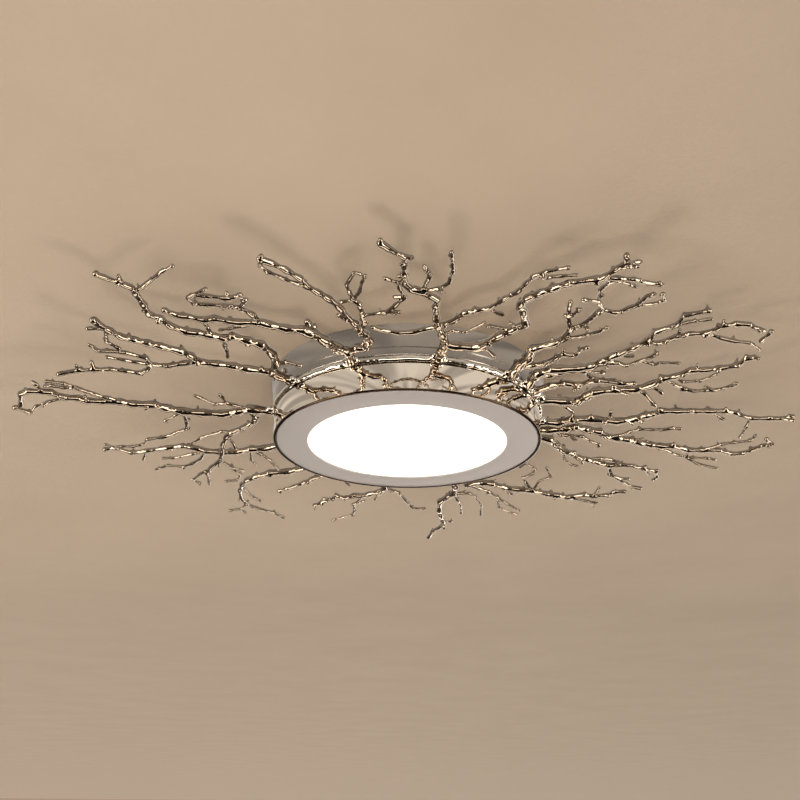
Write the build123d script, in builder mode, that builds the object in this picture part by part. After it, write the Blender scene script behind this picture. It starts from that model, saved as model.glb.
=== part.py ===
from build123d import *
import math
import os

os.makedirs("parts", exist_ok=True)

# Flush mount ceiling light with a crown of cast twigs.
# Millimetres. The ceiling is the plane Z = 0, the lamp hangs below it and its axis is Z.
# Seen in the photograph, the near side is -Y and the right-hand side is +X.

# Canopy: a spun shell against the ceiling
canopy_foot_inset = 1.8
canopy_waist_flare = 1.8
canopy_rim_flare = 4.0
canopy_waist_drop = 27.5
canopy_step = 0.8
canopy_depth = 38.0
canopy_corner = 1.8
canopy_wall = 1.2
canopy_flange_margin = 8.0

# Ring that carries the twigs, clamped under the canopy
ring_overhang = 3.0
ring_height = 7.6
ring_nose = 3.4
ring_width = 12.0

# Drum band with its rolled lower lip
band_radius = 175.0
band_height = 34.5
band_wall = 1.5
band_corner = 1.2
band_lip = 2.1
band_lip_height = 2.5
band_flange_margin = 10.0
shadow_gap = 1.7

# Housing plate, light board and reflector inside the drum
plate_gap = 8.5
plate_thickness = 3.0
board_radius = 112.0
board_thickness = 1.6
chip_side = 3.0
chip_height = 0.7
chip_rings = [(30.0, 8), (62.0, 16), (92.0, 24)]
reflector_wall = 1.2
reflector_flange = 7.0
reflector_mouth_radius = 137.0
board_margin = 1.5
reflector_clearance = 0.6

# Twist-off trim: bezel, diffuser and the ring that holds it
bezel_gap = 0.7
bezel_recess = 0.8
bezel_face = 1.8
bezel_skirt_wall = 1.5
bezel_skirt_height = 13.0
bezel_edge = 0.7
window_radius = 130.5
diffuser_overlap = 7.5
diffuser_thickness = 3.0
keeper_thickness = 1.0
keeper_overlap = 5.0
boss_radius = 3.4
boss_gap = 0.6
keeper_screw_count = 6

# Bayonet: lugs on the bezel turn onto the shelves of brackets on the housing plate
lug_count = 3
lug_first_azimuth = 90.0
lug_width = 12.0
lug_length = 13.0
lug_thickness = 2.0
lug_gap = 0.3
lug_end_gap = 1.2
lug_below_skirt = 2.3
bracket_width = 20.0
bracket_sheet = 2.0
bracket_shelf = 11.0
bracket_foot = 12.0
bracket_stop = 3.0

# Mounting plate on the ceiling, with three ears for the side screws
mount_sheet = 2.0
mount_disc_radius = 92.0
mount_arm_width = 24.0
mount_arm_length = 46.0
mount_ear_width = 16.0
mount_ear_drop = 22.0
mount_ear_gap = 0.3
wire_hole_radius = 20.0
box_screw_spacing = 88.9
box_slot_length = 14.0
box_slot_width = 5.2
anchor_hole_radius = 2.6
anchor_circle_radius = 76.0
anchor_count = 3
anchor_first_azimuth = 30.0
side_screw_drop = 18.0
side_screw_count = 3
side_screw_first_azimuth = 90.0
side_screw_seat = 0.1
side_screw_past_ear = 2.0
ground_screw_x = -70.0

# Fasteners
m3_radius = 1.5
m4_radius = 2.0
head_ratio = 1.8
head_height_ratio = 1.2
slot_width_ratio = 0.45
slot_depth_ratio = 0.5
thread_clearance = 0.05
hole_clearance = 0.25
cut_ratio = 3.0
stack_inset = 8.0
stack_count = 6
stack_first_azimuth = 20.0
stack_past_nut = 1.8
nut_across_flats = 7.0
nut_height = 3.2
spacer_radius = 4.0
ring_screw_inset = 3.5
ring_screw_count = 6
ring_screw_first_azimuth = 50.0
ring_screw_bite = 4.0
board_screw_margin = 7.0
board_screw_count = 6
board_screw_first_azimuth = 15.0
reflector_screw_count = 3
reflector_screw_first_azimuth = 30.0

# Driver, terminals and leads on top of the housing plate
driver_length = 118.0
driver_width = 42.0
driver_height = 21.0
driver_foot = 9.0
driver_foot_thickness = 1.5
driver_edge = 2.0
driver_y = -62.0
terminal_pitch = 11.0
terminal_ways = 3
terminal_wall = 1.2
terminal_depth = 20.0
terminal_height = 16.0
terminal_well_radius = 2.6
terminal_well_depth = 5.0
clamp_radius = 2.4
clamp_height = 4.0
clamp_slot_width = 0.8
clamp_slot_depth = 0.9
terminal_flange = 8.0
terminal_flange_thickness = 3.0
terminal_gap = 33.0
terminal_y = 24.0
lead_radius = 1.1
lead_hole_ratio = 2.0
lead_bend = 9.0
lead_height = 10.0
supply_lead_pitch = 6.0
led_lead_pitch = 3.4
grommet_gap = 17.0
grommet_y = -14.0
grommet_radius = 6.5
grommet_wall = 1.5
grommet_lip = 1.5

# Twigs: their seats in the ring, the droop of the crown and the swell at each knot
socket_radius = 2.7
socket_depth = 5.5
spigot_clearance = 0.1
spigot_overlap = 2.5
root_gap = 0.3
crown_droop = 0.05
knot_swell = 1.2
fork_shrink = 0.95
waist_shrink = 0.88
waist_min_run = 14.0
tip_swell = 1.3
tip_end_shrink = 0.7

# Places beside the driver's two ends
terminal_x = -(driver_length / 2 + terminal_gap)
grommet_x = driver_length / 2 + grommet_gap

# Levels, worked down from the ceiling
flange_top = -canopy_depth + canopy_wall
ring_top = -canopy_depth
ring_middle = ring_top - ring_height / 2
ring_bottom = ring_top - ring_height
band_top = ring_bottom - shadow_gap
band_bottom = band_top - band_height
plate_top = band_top - band_wall
plate_bottom = plate_top - plate_thickness
board_bottom = plate_bottom - board_thickness
bezel_bottom = band_bottom + bezel_recess
bezel_inside = bezel_bottom + bezel_face
skirt_top = bezel_inside + bezel_skirt_height
diffuser_top = bezel_inside + diffuser_thickness
keeper_top = diffuser_top + keeper_thickness
reflector_bottom = keeper_top + reflector_clearance
lug_top = skirt_top - lug_below_skirt
lug_bottom = lug_top - lug_thickness
shelf_top = lug_bottom - lug_gap
shelf_bottom = shelf_top - bracket_sheet
lead_level = plate_top + lead_height

# Radii, worked out from what each piece sits in or on
ring_outer_radius = band_radius + ring_overhang
ring_inner_radius = ring_outer_radius - ring_width
ring_screw_radius = ring_inner_radius + ring_screw_inset
stack_radius = ring_inner_radius - stack_inset
canopy_foot_radius = ring_outer_radius - canopy_foot_inset
canopy_waist_radius = canopy_foot_radius + canopy_waist_flare
canopy_rim_radius = canopy_waist_radius + canopy_rim_flare
canopy_opening_radius = stack_radius - canopy_flange_margin
band_opening_radius = stack_radius - band_flange_margin
band_inner_radius = band_radius - band_wall
plate_radius = band_inner_radius - plate_gap
lip_inner_radius = band_inner_radius - band_lip
bezel_radius = lip_inner_radius - bezel_gap
skirt_inner_radius = bezel_radius - bezel_skirt_wall
diffuser_radius = window_radius + diffuser_overlap
boss_circle_radius = diffuser_radius + boss_gap + boss_radius
keeper_radius = boss_circle_radius + boss_radius
lug_inner_radius = skirt_inner_radius - lug_length
web_outer_radius = lug_inner_radius - lug_end_gap
web_inner_radius = web_outer_radius - bracket_sheet
bracket_screw_radius = web_inner_radius - bracket_foot / 2
reflector_inner_radius = board_radius + board_margin
throat_radius = reflector_inner_radius + reflector_flange
reflector_screw_radius = reflector_inner_radius + reflector_flange / 2
board_screw_radius = board_radius - board_screw_margin
terminal_length = terminal_pitch * terminal_ways + 2 * terminal_wall

# Twig routes. Each casting is a list of stems, and a stem is written as
#   (fork, thick, thin, rise, [(reach, azimuth), ...])
# fork: None for the stem that starts in the ring, or (parent stem, parent knot) for one that branches off
# thick, thin: the stem's radius at its start and at its tip
# rise: height of its tip over the drooping cone of the crown, reached evenly from its start
# reach, azimuth: each knot's distance out from the ring, and its direction in degrees from +X
twig_clusters = {
    "twigs_front": [
        (None, 4.8, 3.0, 4, [(0, -79), (20, -79), (35, -79), (55, -81), (75, -83)]),
        ((0, 4), 3.2, 2.4, 6, [(90, -84), (120, -85), (135, -85), (150, -88), (155, -90), (165, -91),
         (180, -91), (200, -91), (215, -91), (230, -93), (240, -94)]),
        ((1, 9), 2.2, 2.0, 8, [(210, -90)]),
        ((1, 7), 1.6, 1.6, 2, [(185, -92)]),
        ((1, 4), 2.2, 1.7, 14, [(175, -87), (185, -88)]),
        ((4, 1), 1.6, 1.6, 8, [(180, -87)]),
        ((1, 4), 2.3, 1.8, 0, [(160, -85), (175, -84), (200, -84), (235, -85)]),
        ((6, 1), 1.6, 1.5, -6, [(170, -85)]),
        ((0, 4), 2.8, 1.8, 0, [(60, -89), (60, -93), (70, -97), (80, -99)]),
        ((0, 4), 2.8, 1.8, -6, [(95, -80), (115, -79), (125, -77), (135, -75), (160, -74), (180, -73),
         (200, -73), (215, -73), (230, -72), (245, -70)]),
        ((9, 8), 2.0, 1.6, 2, [(215, -71), (220, -69), (225, -67)]),
        ((10, 1), 1.6, 1.5, -8, [(225, -72)]),
        ((9, 4), 2.1, 1.7, 4, [(125, -73), (120, -71)]),
        ((0, 3), 2.0, 1.6, 10, [(65, -79), (60, -75), (85, -72)]),
        ((0, 2), 4.0, 2.2, -10, [(35, -76), (40, -71), (50, -69), (80, -68), (100, -67), (120, -66),
         (145, -69), (160, -71), (175, -71), (190, -70), (205, -69), (220, -68), (235, -66),
         (245, -65), (265, -65), (280, -65), (290, -66)]),
        ((14, 3), 2.0, 1.6, -14, [(55, -66)]),
        ((14, 5), 2.0, 1.6, 4, [(90, -72)]),
        ((14, 6), 2.0, 1.7, -8, [(115, -68), (125, -70)]),
        ((14, 8), 1.8, 1.6, -6, [(155, -71)]),
        ((14, 16), 1.8, 1.7, -4, [(280, -63)]),
        ((14, 15), 1.8, 1.6, -14, [(285, -64)]),
        ((14, 14), 2.4, 1.8, -4, [(250, -63), (255, -61), (255, -59), (260, -57)]),
        ((14, 14), 2.2, 1.7, 8, [(240, -63), (215, -62), (200, -60), (190, -59)]),
        ((22, 1), 1.8, 1.6, 2, [(240, -60), (235, -58)]),
    ],
    "twigs_front_right": [
        (None, 4.8, 2.6, 2, [(0, -47), (25, -51), (50, -53), (70, -56), (95, -54), (110, -54),
         (130, -56)]),
        ((0, 6), 2.4, 1.7, 8, [(145, -59), (160, -61), (170, -62)]),
        ((1, 1), 2.0, 1.7, 2, [(170, -60)]),
        ((1, 2), 1.6, 1.5, 12, [(150, -60)]),
        ((0, 6), 2.6, 2.2, -4, [(150, -56), (185, -58), (190, -58)]),
        ((4, 1), 1.9, 1.8, -8, [(155, -56)]),
        ((4, 3), 2.0, 1.6, -10, [(205, -61), (205, -64)]),
        ((4, 3), 2.2, 1.8, -10, [(195, -56), (210, -56), (220, -56), (240, -57), (250, -57)]),
        ((7, 3), 1.8, 1.6, -14, [(235, -55), (250, -55), (260, -57)]),
        ((0, 5), 2.2, 1.7, -8, [(130, -53), (155, -53), (170, -54)]),
        ((0, 1), 3.0, 1.9, -8, [(40, -49), (55, -48), (75, -49), (90, -50), (100, -48), (115, -50),
         (125, -50)]),
        ((10, 4), 1.8, 1.6, -2, [(95, -51)]),
    ],
    "twigs_right_front": [
        (None, 4.4, 2.2, 8, [(0, -35), (30, -42), (50, -42), (60, -40), (75, -38), (90, -37),
         (105, -38), (120, -39), (130, -39), (150, -40), (170, -41), (185, -43), (210, -43),
         (225, -45), (250, -44)]),
        ((0, 12), 2.0, 1.6, 14, [(220, -42), (240, -40)]),
        ((0, 10), 2.6, 2.0, -2, [(175, -39), (200, -40), (215, -40), (230, -39), (250, -40),
         (265, -40), (275, -39), (280, -37), (290, -36), (275, -34)]),
        ((2, 2), 1.8, 1.6, 4, [(210, -42)]),
        ((2, 5), 1.8, 1.6, 4, [(255, -41)]),
        ((2, 4), 2.2, 1.8, -8, [(240, -37), (250, -36), (265, -35), (270, -33)]),
        ((0, 5), 2.3, 1.7, 0, [(110, -37), (120, -36), (125, -34), (145, -35), (160, -36), (170, -37)]),
        ((6, 4), 1.8, 1.6, -6, [(155, -33), (165, -34), (185, -33)]),
        ((0, 8), 1.8, 1.5, 12, [(130, -36), (135, -34)]),
        ((0, 1), 3.0, 1.8, 6, [(35, -38), (50, -38), (65, -37), (75, -35), (75, -30), (90, -26),
         (100, -25)]),
        ((9, 4), 1.8, 1.5, -12, [(100, -35), (115, -40)]),
    ],
    "twigs_right_hook": [
        (None, 3.6, 2.0, -18, [(0, -29), (30, -33), (50, -34), (60, -33), (80, -34), (95, -35),
         (115, -32), (130, -32)]),
        ((0, 3), 1.9, 1.9, -16, [(60, -34)]),
    ],
    "twigs_right": [
        (None, 4.6, 2.2, 2, [(0, -20), (30, -17), (45, -16), (60, -20), (70, -22), (95, -22),
         (120, -21), (135, -22), (145, -23), (155, -25), (170, -25), (190, -27), (205, -26),
         (220, -26), (240, -26), (250, -28), (260, -28)]),
        ((0, 9), 2.2, 1.7, -8, [(165, -22), (175, -20), (185, -19), (210, -19), (230, -21),
         (235, -22)]),
        ((1, 4), 1.6, 1.5, -2, [(200, -20)]),
        ((0, 10), 2.0, 1.6, 4, [(175, -22), (195, -21), (215, -23)]),
        ((0, 6), 2.2, 1.7, -12, [(130, -19), (135, -17), (140, -16)]),
        ((4, 2), 1.5, 1.5, -8, [(140, -15)]),
        ((0, 7), 2.0, 1.8, -6, [(145, -21), (150, -20)]),
        ((0, 5), 1.8, 1.6, -8, [(110, -22)]),
        ((0, 16), 1.8, 1.6, -4, [(265, -29)]),
    ],
    "twigs_right_long": [
        (None, 4.4, 2.0, 0, [(0, 3), (25, 3), (40, -1), (65, -2), (100, -1), (120, -3), (130, -5),
         (140, -6), (150, -8), (170, -8), (190, -8), (210, -8), (230, -8), (245, -7), (265, -5),
         (290, -5), (300, -5), (315, -6)]),
        ((0, 4), 2.0, 1.7, 8, [(90, -2), (90, -4)]),
        ((0, 5), 1.9, 1.7, -6, [(130, -4)]),
        ((0, 14), 2.0, 1.7, -8, [(265, -2), (265, 1)]),
        ((0, 11), 1.9, 1.6, -6, [(225, -6), (230, -6)]),
        ((0, 2), 2.4, 1.8, 8, [(40, -5), (30, -7)]),
        ((0, 16), 1.7, 1.6, -6, [(315, -6)]),
    ],
    "twigs_right_rear": [
        (None, 4.6, 2.0, -8, [(0, 13), (20, 10), (40, 7), (50, 4), (70, 6), (85, 6), (100, 9), (115, 9),
         (130, 9), (150, 10), (165, 10), (180, 10), (195, 9), (220, 10), (240, 9), (260, 8), (280, 9),
         (295, 8), (300, 6), (305, 4), (315, 3), (300, 1)]),
        ((0, 6), 2.2, 1.8, 2, [(115, 8), (125, 5), (135, 3), (150, 3), (165, 3), (175, 2), (190, 2)]),
        ((0, 14), 2.1, 1.6, 0, [(255, 6), (270, 5), (290, 4), (290, 2)]),
        ((0, 10), 2.1, 1.7, -8, [(180, 11), (200, 12), (215, 13), (240, 13), (255, 12), (270, 12)]),
        ((0, 13), 2.0, 1.6, -24, [(225, 12), (240, 12), (265, 11)]),
        ((0, 8), 1.7, 1.6, -2, [(150, 8)]),
        ((0, 1), 2.4, 1.8, -10, [(40, 12), (50, 11), (65, 9), (80, 11), (95, 12)]),
        ((6, 2), 1.8, 1.8, -14, [(55, 9)]),
    ],
    "twigs_rear_right": [
        (None, 4.4, 2.0, -2, [(0, 18), (35, 19), (50, 22), (70, 25), (90, 26), (105, 27), (120, 27),
         (140, 27), (160, 27), (170, 25), (190, 24), (210, 24), (230, 24), (245, 26), (250, 28)]),
        ((0, 11), 1.7, 1.6, 2, [(235, 27)]),
        ((0, 6), 2.1, 1.8, 8, [(135, 25), (155, 25), (170, 26), (185, 27)]),
        ((0, 8), 2.8, 2.0, -10, [(185, 31), (200, 31), (220, 32), (235, 32), (245, 31)]),
        ((3, 2), 2.0, 1.8, -4, [(215, 30)]),
        ((0, 3), 2.0, 1.5, -8, [(90, 30), (105, 31), (115, 30)]),
        ((0, 5), 1.8, 1.8, -6, [(115, 28)]),
    ],
    "twigs_rear_centre": [
        (None, 4.4, 2.4, -4, [(0, 64), (45, 68), (95, 69), (95, 64), (105, 61), (130, 59),
         (145, 56), (160, 53),
         (185, 51), (200, 49), (215, 48), (220, 44), (235, 43), (245, 40), (240, 38), (250, 36)]),
        ((0, 10), 2.1, 1.8, -12, [(235, 45), (245, 43)]),
        ((1, 1), 1.6, 1.6, -10, [(255, 45)]),
        ((0, 12), 2.0, 1.8, 4, [(225, 40)]),
        ((0, 9), 1.7, 1.6, -8, [(195, 50)]),
        ((0, 5), 1.9, 1.6, -8, [(145, 59), (145, 58)]),
        ((0, 7), 2.3, 1.7, 10, [(130, 52), (115, 51), (110, 47), (105, 45), (80, 45), (90, 49)]),
        ((0, 7), 2.0, 1.7, 4, [(135, 48), (135, 44), (105, 41)]),
        ((0, 2), 2.6, 1.8, -10, [(115, 66), (130, 64), (155, 63), (180, 62), (215, 61)]),
        ((8, 3), 1.9, 1.6, -14, [(190, 65), (220, 62)]),
    ],
    "twigs_rear": [
        (None, 4.8, 2.4, -6, [(0, 77), (45, 74), (95, 73), (125, 75), (135, 77), (155, 80),
         (195, 81), (215, 81),
         (250, 81), (265, 81), (300, 84), (330, 85)]),
        ((0, 8), 1.8, 1.6, -2, [(260, 79)]),
        ((0, 9), 1.6, 1.5, -10, [(270, 81)]),
        ((0, 3), 2.2, 1.8, 0, [(160, 75), (185, 75), (225, 76)]),
        ((0, 3), 2.4, 1.7, -8, [(125, 73), (125, 70), (140, 69), (175, 69), (220, 71)]),
        ((4, 1), 1.8, 1.6, 6, [(140, 72)]),
    ],
    "twigs_rear_left": [
        (None, 4.0, 2.6, 2, [(0, 97), (60, 98), (100, 97), (120, 98), (135, 101), (145, 103),
         (145, 105), (165, 107), (155, 110), (175, 110), (195, 112), (215, 113)]),
        ((0, 2), 2.4, 1.7, 8, [(125, 92), (160, 90), (205, 88), (210, 88), (215, 85)]),
        ((1, 4), 1.6, 1.5, 4, [(220, 87)]),
        ((0, 9), 1.9, 1.6, 6, [(190, 112)]),
        ((0, 5), 2.2, 1.7, -8, [(170, 103), (180, 104), (200, 103), (220, 103), (235, 105),
         (250, 107)]),
        ((0, 3), 1.7, 1.5, -6, [(140, 99)]),
        ((4, 1), 1.7, 1.5, 4, [(175, 101)]),
    ],
    "twigs_rear_short": [
        (None, 3.8, 2.0, -2, [(0, 118), (55, 119), (75, 120), (100, 122), (120, 123), (140, 124),
         (155, 125), (170, 126)]),
        ((0, 1), 2.0, 1.7, 6, [(85, 113), (105, 109), (115, 108)]),
    ],
    "twigs_left_rear": [
        (None, 4.4, 2.6, 4, [(0, 128), (50, 129), (70, 129), (95, 131), (120, 135), (150, 136),
         (170, 136), (190, 135), (215, 133), (245, 130), (265, 127)]),
        ((0, 10), 2.4, 1.9, 8, [(280, 123), (290, 119), (310, 116)]),
        ((0, 10), 2.0, 1.8, -2, [(285, 127), (295, 129)]),
        ((2, 1), 1.7, 1.5, 2, [(300, 125)]),
        ((0, 7), 2.2, 1.7, -6, [(205, 132), (215, 129), (215, 127)]),
        ((0, 2), 1.9, 1.6, 8, [(85, 130)]),
    ],
    "twigs_left_low": [
        (None, 4.2, 2.2, 10, [(0, 150), (55, 151), (75, 153), (100, 153), (120, 155), (140, 157),
         (145, 159), (160, 162), (185, 162), (220, 162), (245, 162), (255, 165), (275, 165)]),
        ((0, 11), 1.7, 1.7, 14, [(270, 166)]),
        ((0, 5), 2.0, 1.6, 4, [(165, 157), (195, 157), (210, 158)]),
        ((0, 5), 2.2, 1.7, 14, [(165, 153), (190, 151), (215, 150), (235, 152), (265, 151)]),
        ((0, 9), 1.8, 1.6, 8, [(245, 158)]),
        ((0, 2), 2.6, 1.8, -8, [(70, 149), (70, 144), (80, 138)]),
        ((0, 2), 2.0, 1.6, 0, [(100, 146), (105, 143)]),
    ],
    "twigs_left": [
        (None, 4.6, 2.2, -4, [(0, -174), (20, -173), (30, -172), (45, -174), (65, -176), (90, -175),
         (115, -174), (135, -172), (150, -170), (175, -170), (190, -169), (210, -169), (230, -169),
         (240, -168), (255, -168), (270, -166), (280, -166), (295, -166), (305, -167), (310, -171),
         (320, -172), (305, -174)]),
        ((0, 14), 1.9, 1.6, -12, [(275, -169), (290, -170), (295, -171)]),
        ((1, 1), 1.6, 1.5, -12, [(280, -169)]),
        ((0, 10), 2.4, 1.8, 4, [(205, -168), (220, -167), (240, -165), (255, -164), (275, -164)]),
        ((3, 3), 1.9, 1.6, 8, [(255, -166), (270, -166), (280, -167)]),
        ((0, 16), 1.7, 1.5, 2, [(285, -164), (290, -164)]),
        ((0, 12), 1.7, 1.7, -6, [(230, -166)]),
        ((0, 8), 1.7, 1.5, -8, [(160, -170)]),
        ((0, 2), 2.2, 1.7, 6, [(50, -170), (60, -169), (75, -171), (90, -168), (100, -167)]),
        ((8, 2), 1.8, 1.5, 2, [(65, -165), (70, -163)]),
        ((0, 6), 2.4, 1.7, -12, [(115, 180), (120, 176), (140, 174), (155, 173), (180, 173),
         (190, 171), (205, 171), (220, 172)]),
        ((0, 6), 1.9, 1.8, -8, [(125, -175), (140, -177)]),
        ((0, 2), 3.4, 2.6, -12, [(25, -175), (25, 179), (35, 176), (65, 171), (75, 169), (90, 164),
         (105, 159), (120, 155), (150, 152), (165, 150)]),
        ((12, 4), 2.0, 1.6, -6, [(75, 173), (110, 170), (130, 167)]),
        ((12, 5), 1.8, 1.6, -16, [(70, 166), (70, 164)]),
        ((12, 10), 2.0, 1.7, -14, [(190, 145)]),
        ((12, 9), 2.0, 1.7, -8, [(180, 150), (205, 148), (210, 145)]),
        ((12, 8), 2.1, 1.7, -18, [(120, 150), (125, 145), (140, 143), (155, 145)]),
        ((17, 1), 1.7, 1.5, -12, [(115, 146)]),
    ],
    "twigs_left_front": [
        (None, 4.2, 2.6, 6, [(0, -142), (25, -141), (35, -140), (45, -134), (65, -130), (90, -128),
         (105, -129), (125, -130), (125, -132), (140, -133), (155, -134), (165, -135), (185, -135),
         (200, -134), (215, -134), (230, -132), (250, -130)]),
        ((0, 16), 2.6, 1.8, 2, [(260, -129), (270, -129), (290, -129), (300, -129)]),
        ((1, 2), 1.8, 1.6, 6, [(280, -128)]),
        ((0, 16), 2.4, 1.7, 12, [(250, -128), (255, -124), (255, -122)]),
        ((0, 3), 2.6, 1.6, -8, [(45, -129), (35, -126)]),
        ((0, 8), 2.2, 1.6, 4, [(115, -135), (105, -137), (95, -140)]),
        ((0, 9), 2.0, 1.6, 12, [(150, -132), (155, -132)]),
        ((0, 2), 3.8, 2.6, -6, [(65, -142), (80, -142), (100, -143), (120, -144), (135, -142),
         (150, -141), (175, -141), (190, -141), (205, -141), (220, -141), (235, -140), (250, -139),
         (260, -138)]),
        ((7, 11), 2.2, 1.6, -2, [(240, -140), (255, -142)]),
        ((8, 1), 2.2, 1.7, -12, [(230, -143), (215, -143)]),
        ((7, 4), 3.0, 2.2, -10, [(135, -145), (150, -147), (170, -147)]),
        ((10, 3), 2.3, 1.7, -6, [(180, -145), (205, -145), (220, -146), (230, -147), (240, -146)]),
        ((10, 3), 2.1, 1.6, -12, [(185, -147), (200, -147), (220, -147)]),
        ((10, 3), 2.5, 1.8, -16, [(170, -149), (175, -151), (190, -151), (210, -151), (225, -152),
         (240, -153), (250, -154), (260, -155)]),
        ((13, 5), 1.9, 1.7, -8, [(230, -151)]),
        ((13, 6), 1.7, 1.5, -12, [(245, -152)]),
    ],
    "twigs_front_left": [
        (None, 4.6, 2.2, 4, [(0, -112), (25, -110), (40, -112), (60, -113), (85, -114), (95, -115),
         (105, -118), (120, -120), (130, -121), (145, -125), (165, -127), (170, -129), (185, -130),
         (195, -131), (210, -131)]),
        ((0, 3), 3.0, 2.4, 10, [(85, -114), (95, -114)]),
        ((0, 2), 1.8, 2.4, -6, [(50, -112)]),
        ((0, 8), 2.0, 1.5, 14, [(130, -126), (130, -130), (130, -133)]),
        ((0, 8), 2.6, 2.0, -4, [(150, -120), (170, -120), (180, -118), (195, -117), (195, -119),
         (210, -121), (220, -122)]),
        ((4, 5), 1.7, 1.5, 2, [(200, -119)]),
        ((4, 2), 2.2, 1.7, -8, [(180, -121), (185, -121), (200, -123), (210, -124), (225, -123),
         (230, -119)]),
        ((6, 2), 1.7, 1.5, -12, [(195, -120)]),
        ((0, 1), 3.8, 3.0, -4, [(35, -106), (35, -103), (50, -101), (70, -101), (80, -102)]),
        ((8, 5), 3.0, 2.2, -4, [(100, -102), (115, -103), (135, -103), (160, -104), (175, -105),
         (190, -106), (205, -106), (225, -107), (240, -108), (250, -109)]),
        ((9, 2), 1.9, 1.5, -8, [(130, -104)]),
        ((9, 6), 2.0, 1.6, -10, [(200, -107), (215, -108), (235, -109), (250, -109)]),
        ((8, 5), 2.8, 2.2, 8, [(95, -100), (105, -100), (125, -100), (130, -101)]),
        ((12, 4), 2.0, 1.5, 12, [(145, -101), (160, -101), (170, -100), (180, -99), (175, -98)]),
        ((12, 4), 1.8, 1.6, 2, [(140, -103)]),
        ((12, 4), 2.0, 1.6, 4, [(150, -99), (170, -98), (185, -97)]),
        ((12, 2), 2.2, 1.7, 0, [(110, -95), (125, -93), (145, -91), (165, -92), (175, -92),
         (185, -94)]),
        ((16, 5), 1.8, 1.5, -4, [(190, -91)]),
        ((16, 3), 1.8, 1.6, 4, [(140, -93)]),
        ((16, 1), 1.9, 1.6, -6, [(125, -92)]),
    ],
}


def at(radius, azimuth, height):
    """Point at a radius and an azimuth, in degrees, round the lamp's axis."""
    angle = math.radians(azimuth)
    return Vector(radius * math.cos(angle), radius * math.sin(angle), height)


def canopy_radius(drop):
    """Outer radius of the canopy's upper wall at a drop below the ceiling."""
    share = drop / canopy_waist_drop
    return canopy_rim_radius + (canopy_waist_radius - canopy_rim_radius) * share


def pan_screw(radius, length):
    """Slotted pan-head screw: its head stands on the place, its shank points down."""
    head_radius = radius * head_ratio
    head_height = radius * head_height_ratio
    shank_radius = radius - thread_clearance
    Cylinder(head_radius, head_height, align=(Align.CENTER, Align.CENTER, Align.MIN))
    Cylinder(shank_radius, length, align=(Align.CENTER, Align.CENTER, Align.MAX))
    with Locations((0, 0, head_height)):
        Box(head_radius * cut_ratio, radius * slot_width_ratio, head_height * slot_depth_ratio * 2,
            mode=Mode.SUBTRACT)


def from_below(level):
    """Place at a level whose own Z points down, for a screw driven from below."""
    return Location((0, 0, level), (180, 0, 0))


# Mounting plate: pressed steel, with its three ears turned down inside the canopy
ear_outer_radius = canopy_radius(mount_ear_drop) - canopy_wall - mount_ear_gap
ear_face_radius = math.sqrt(ear_outer_radius ** 2 - (mount_ear_width / 2) ** 2)
with BuildPart() as mounting_plate:
    with BuildSketch(Plane.XY.offset(-mount_sheet)):
        Circle(mount_disc_radius)
        with PolarLocations(0, side_screw_count, side_screw_first_azimuth):
            with Locations((ear_face_radius / 2, 0)):
                Rectangle(ear_face_radius, mount_ear_width)
            with Locations((mount_disc_radius, 0)):
                Rectangle(mount_arm_length, mount_arm_width)
        Circle(wire_hole_radius, mode=Mode.SUBTRACT)
        with GridLocations(box_screw_spacing, 0, 2, 1):
            SlotOverall(box_slot_length, box_slot_width, mode=Mode.SUBTRACT)
        with PolarLocations(anchor_circle_radius, anchor_count, anchor_first_azimuth):
            Circle(anchor_hole_radius, mode=Mode.SUBTRACT)
        with Locations((ground_screw_x, 0)):
            Circle(m4_radius, mode=Mode.SUBTRACT)
    extrude(amount=mount_sheet)
    with PolarLocations(ear_face_radius, side_screw_count, side_screw_first_azimuth):
        Box(mount_sheet, mount_ear_width, mount_ear_drop, align=(Align.MAX, Align.CENTER, Align.MAX))
        with Locations((0, 0, -side_screw_drop)):
            Cylinder(m4_radius, mount_sheet * cut_ratio, rotation=(0, 90, 0), mode=Mode.SUBTRACT)
mounting_plate.part.label = "mounting_plate"
export_step(mounting_plate.part, "parts/mounting_plate.step")

# Earthing screw in the mounting plate
with BuildPart() as ground_screw:
    with Locations((ground_screw_x, 0, 0)):
        with Locations(from_below(-mount_sheet)):
            pan_screw(m4_radius, mount_sheet)
ground_screw.part.label = "ground_screw"
export_step(ground_screw.part, "parts/ground_screw.step")

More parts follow.
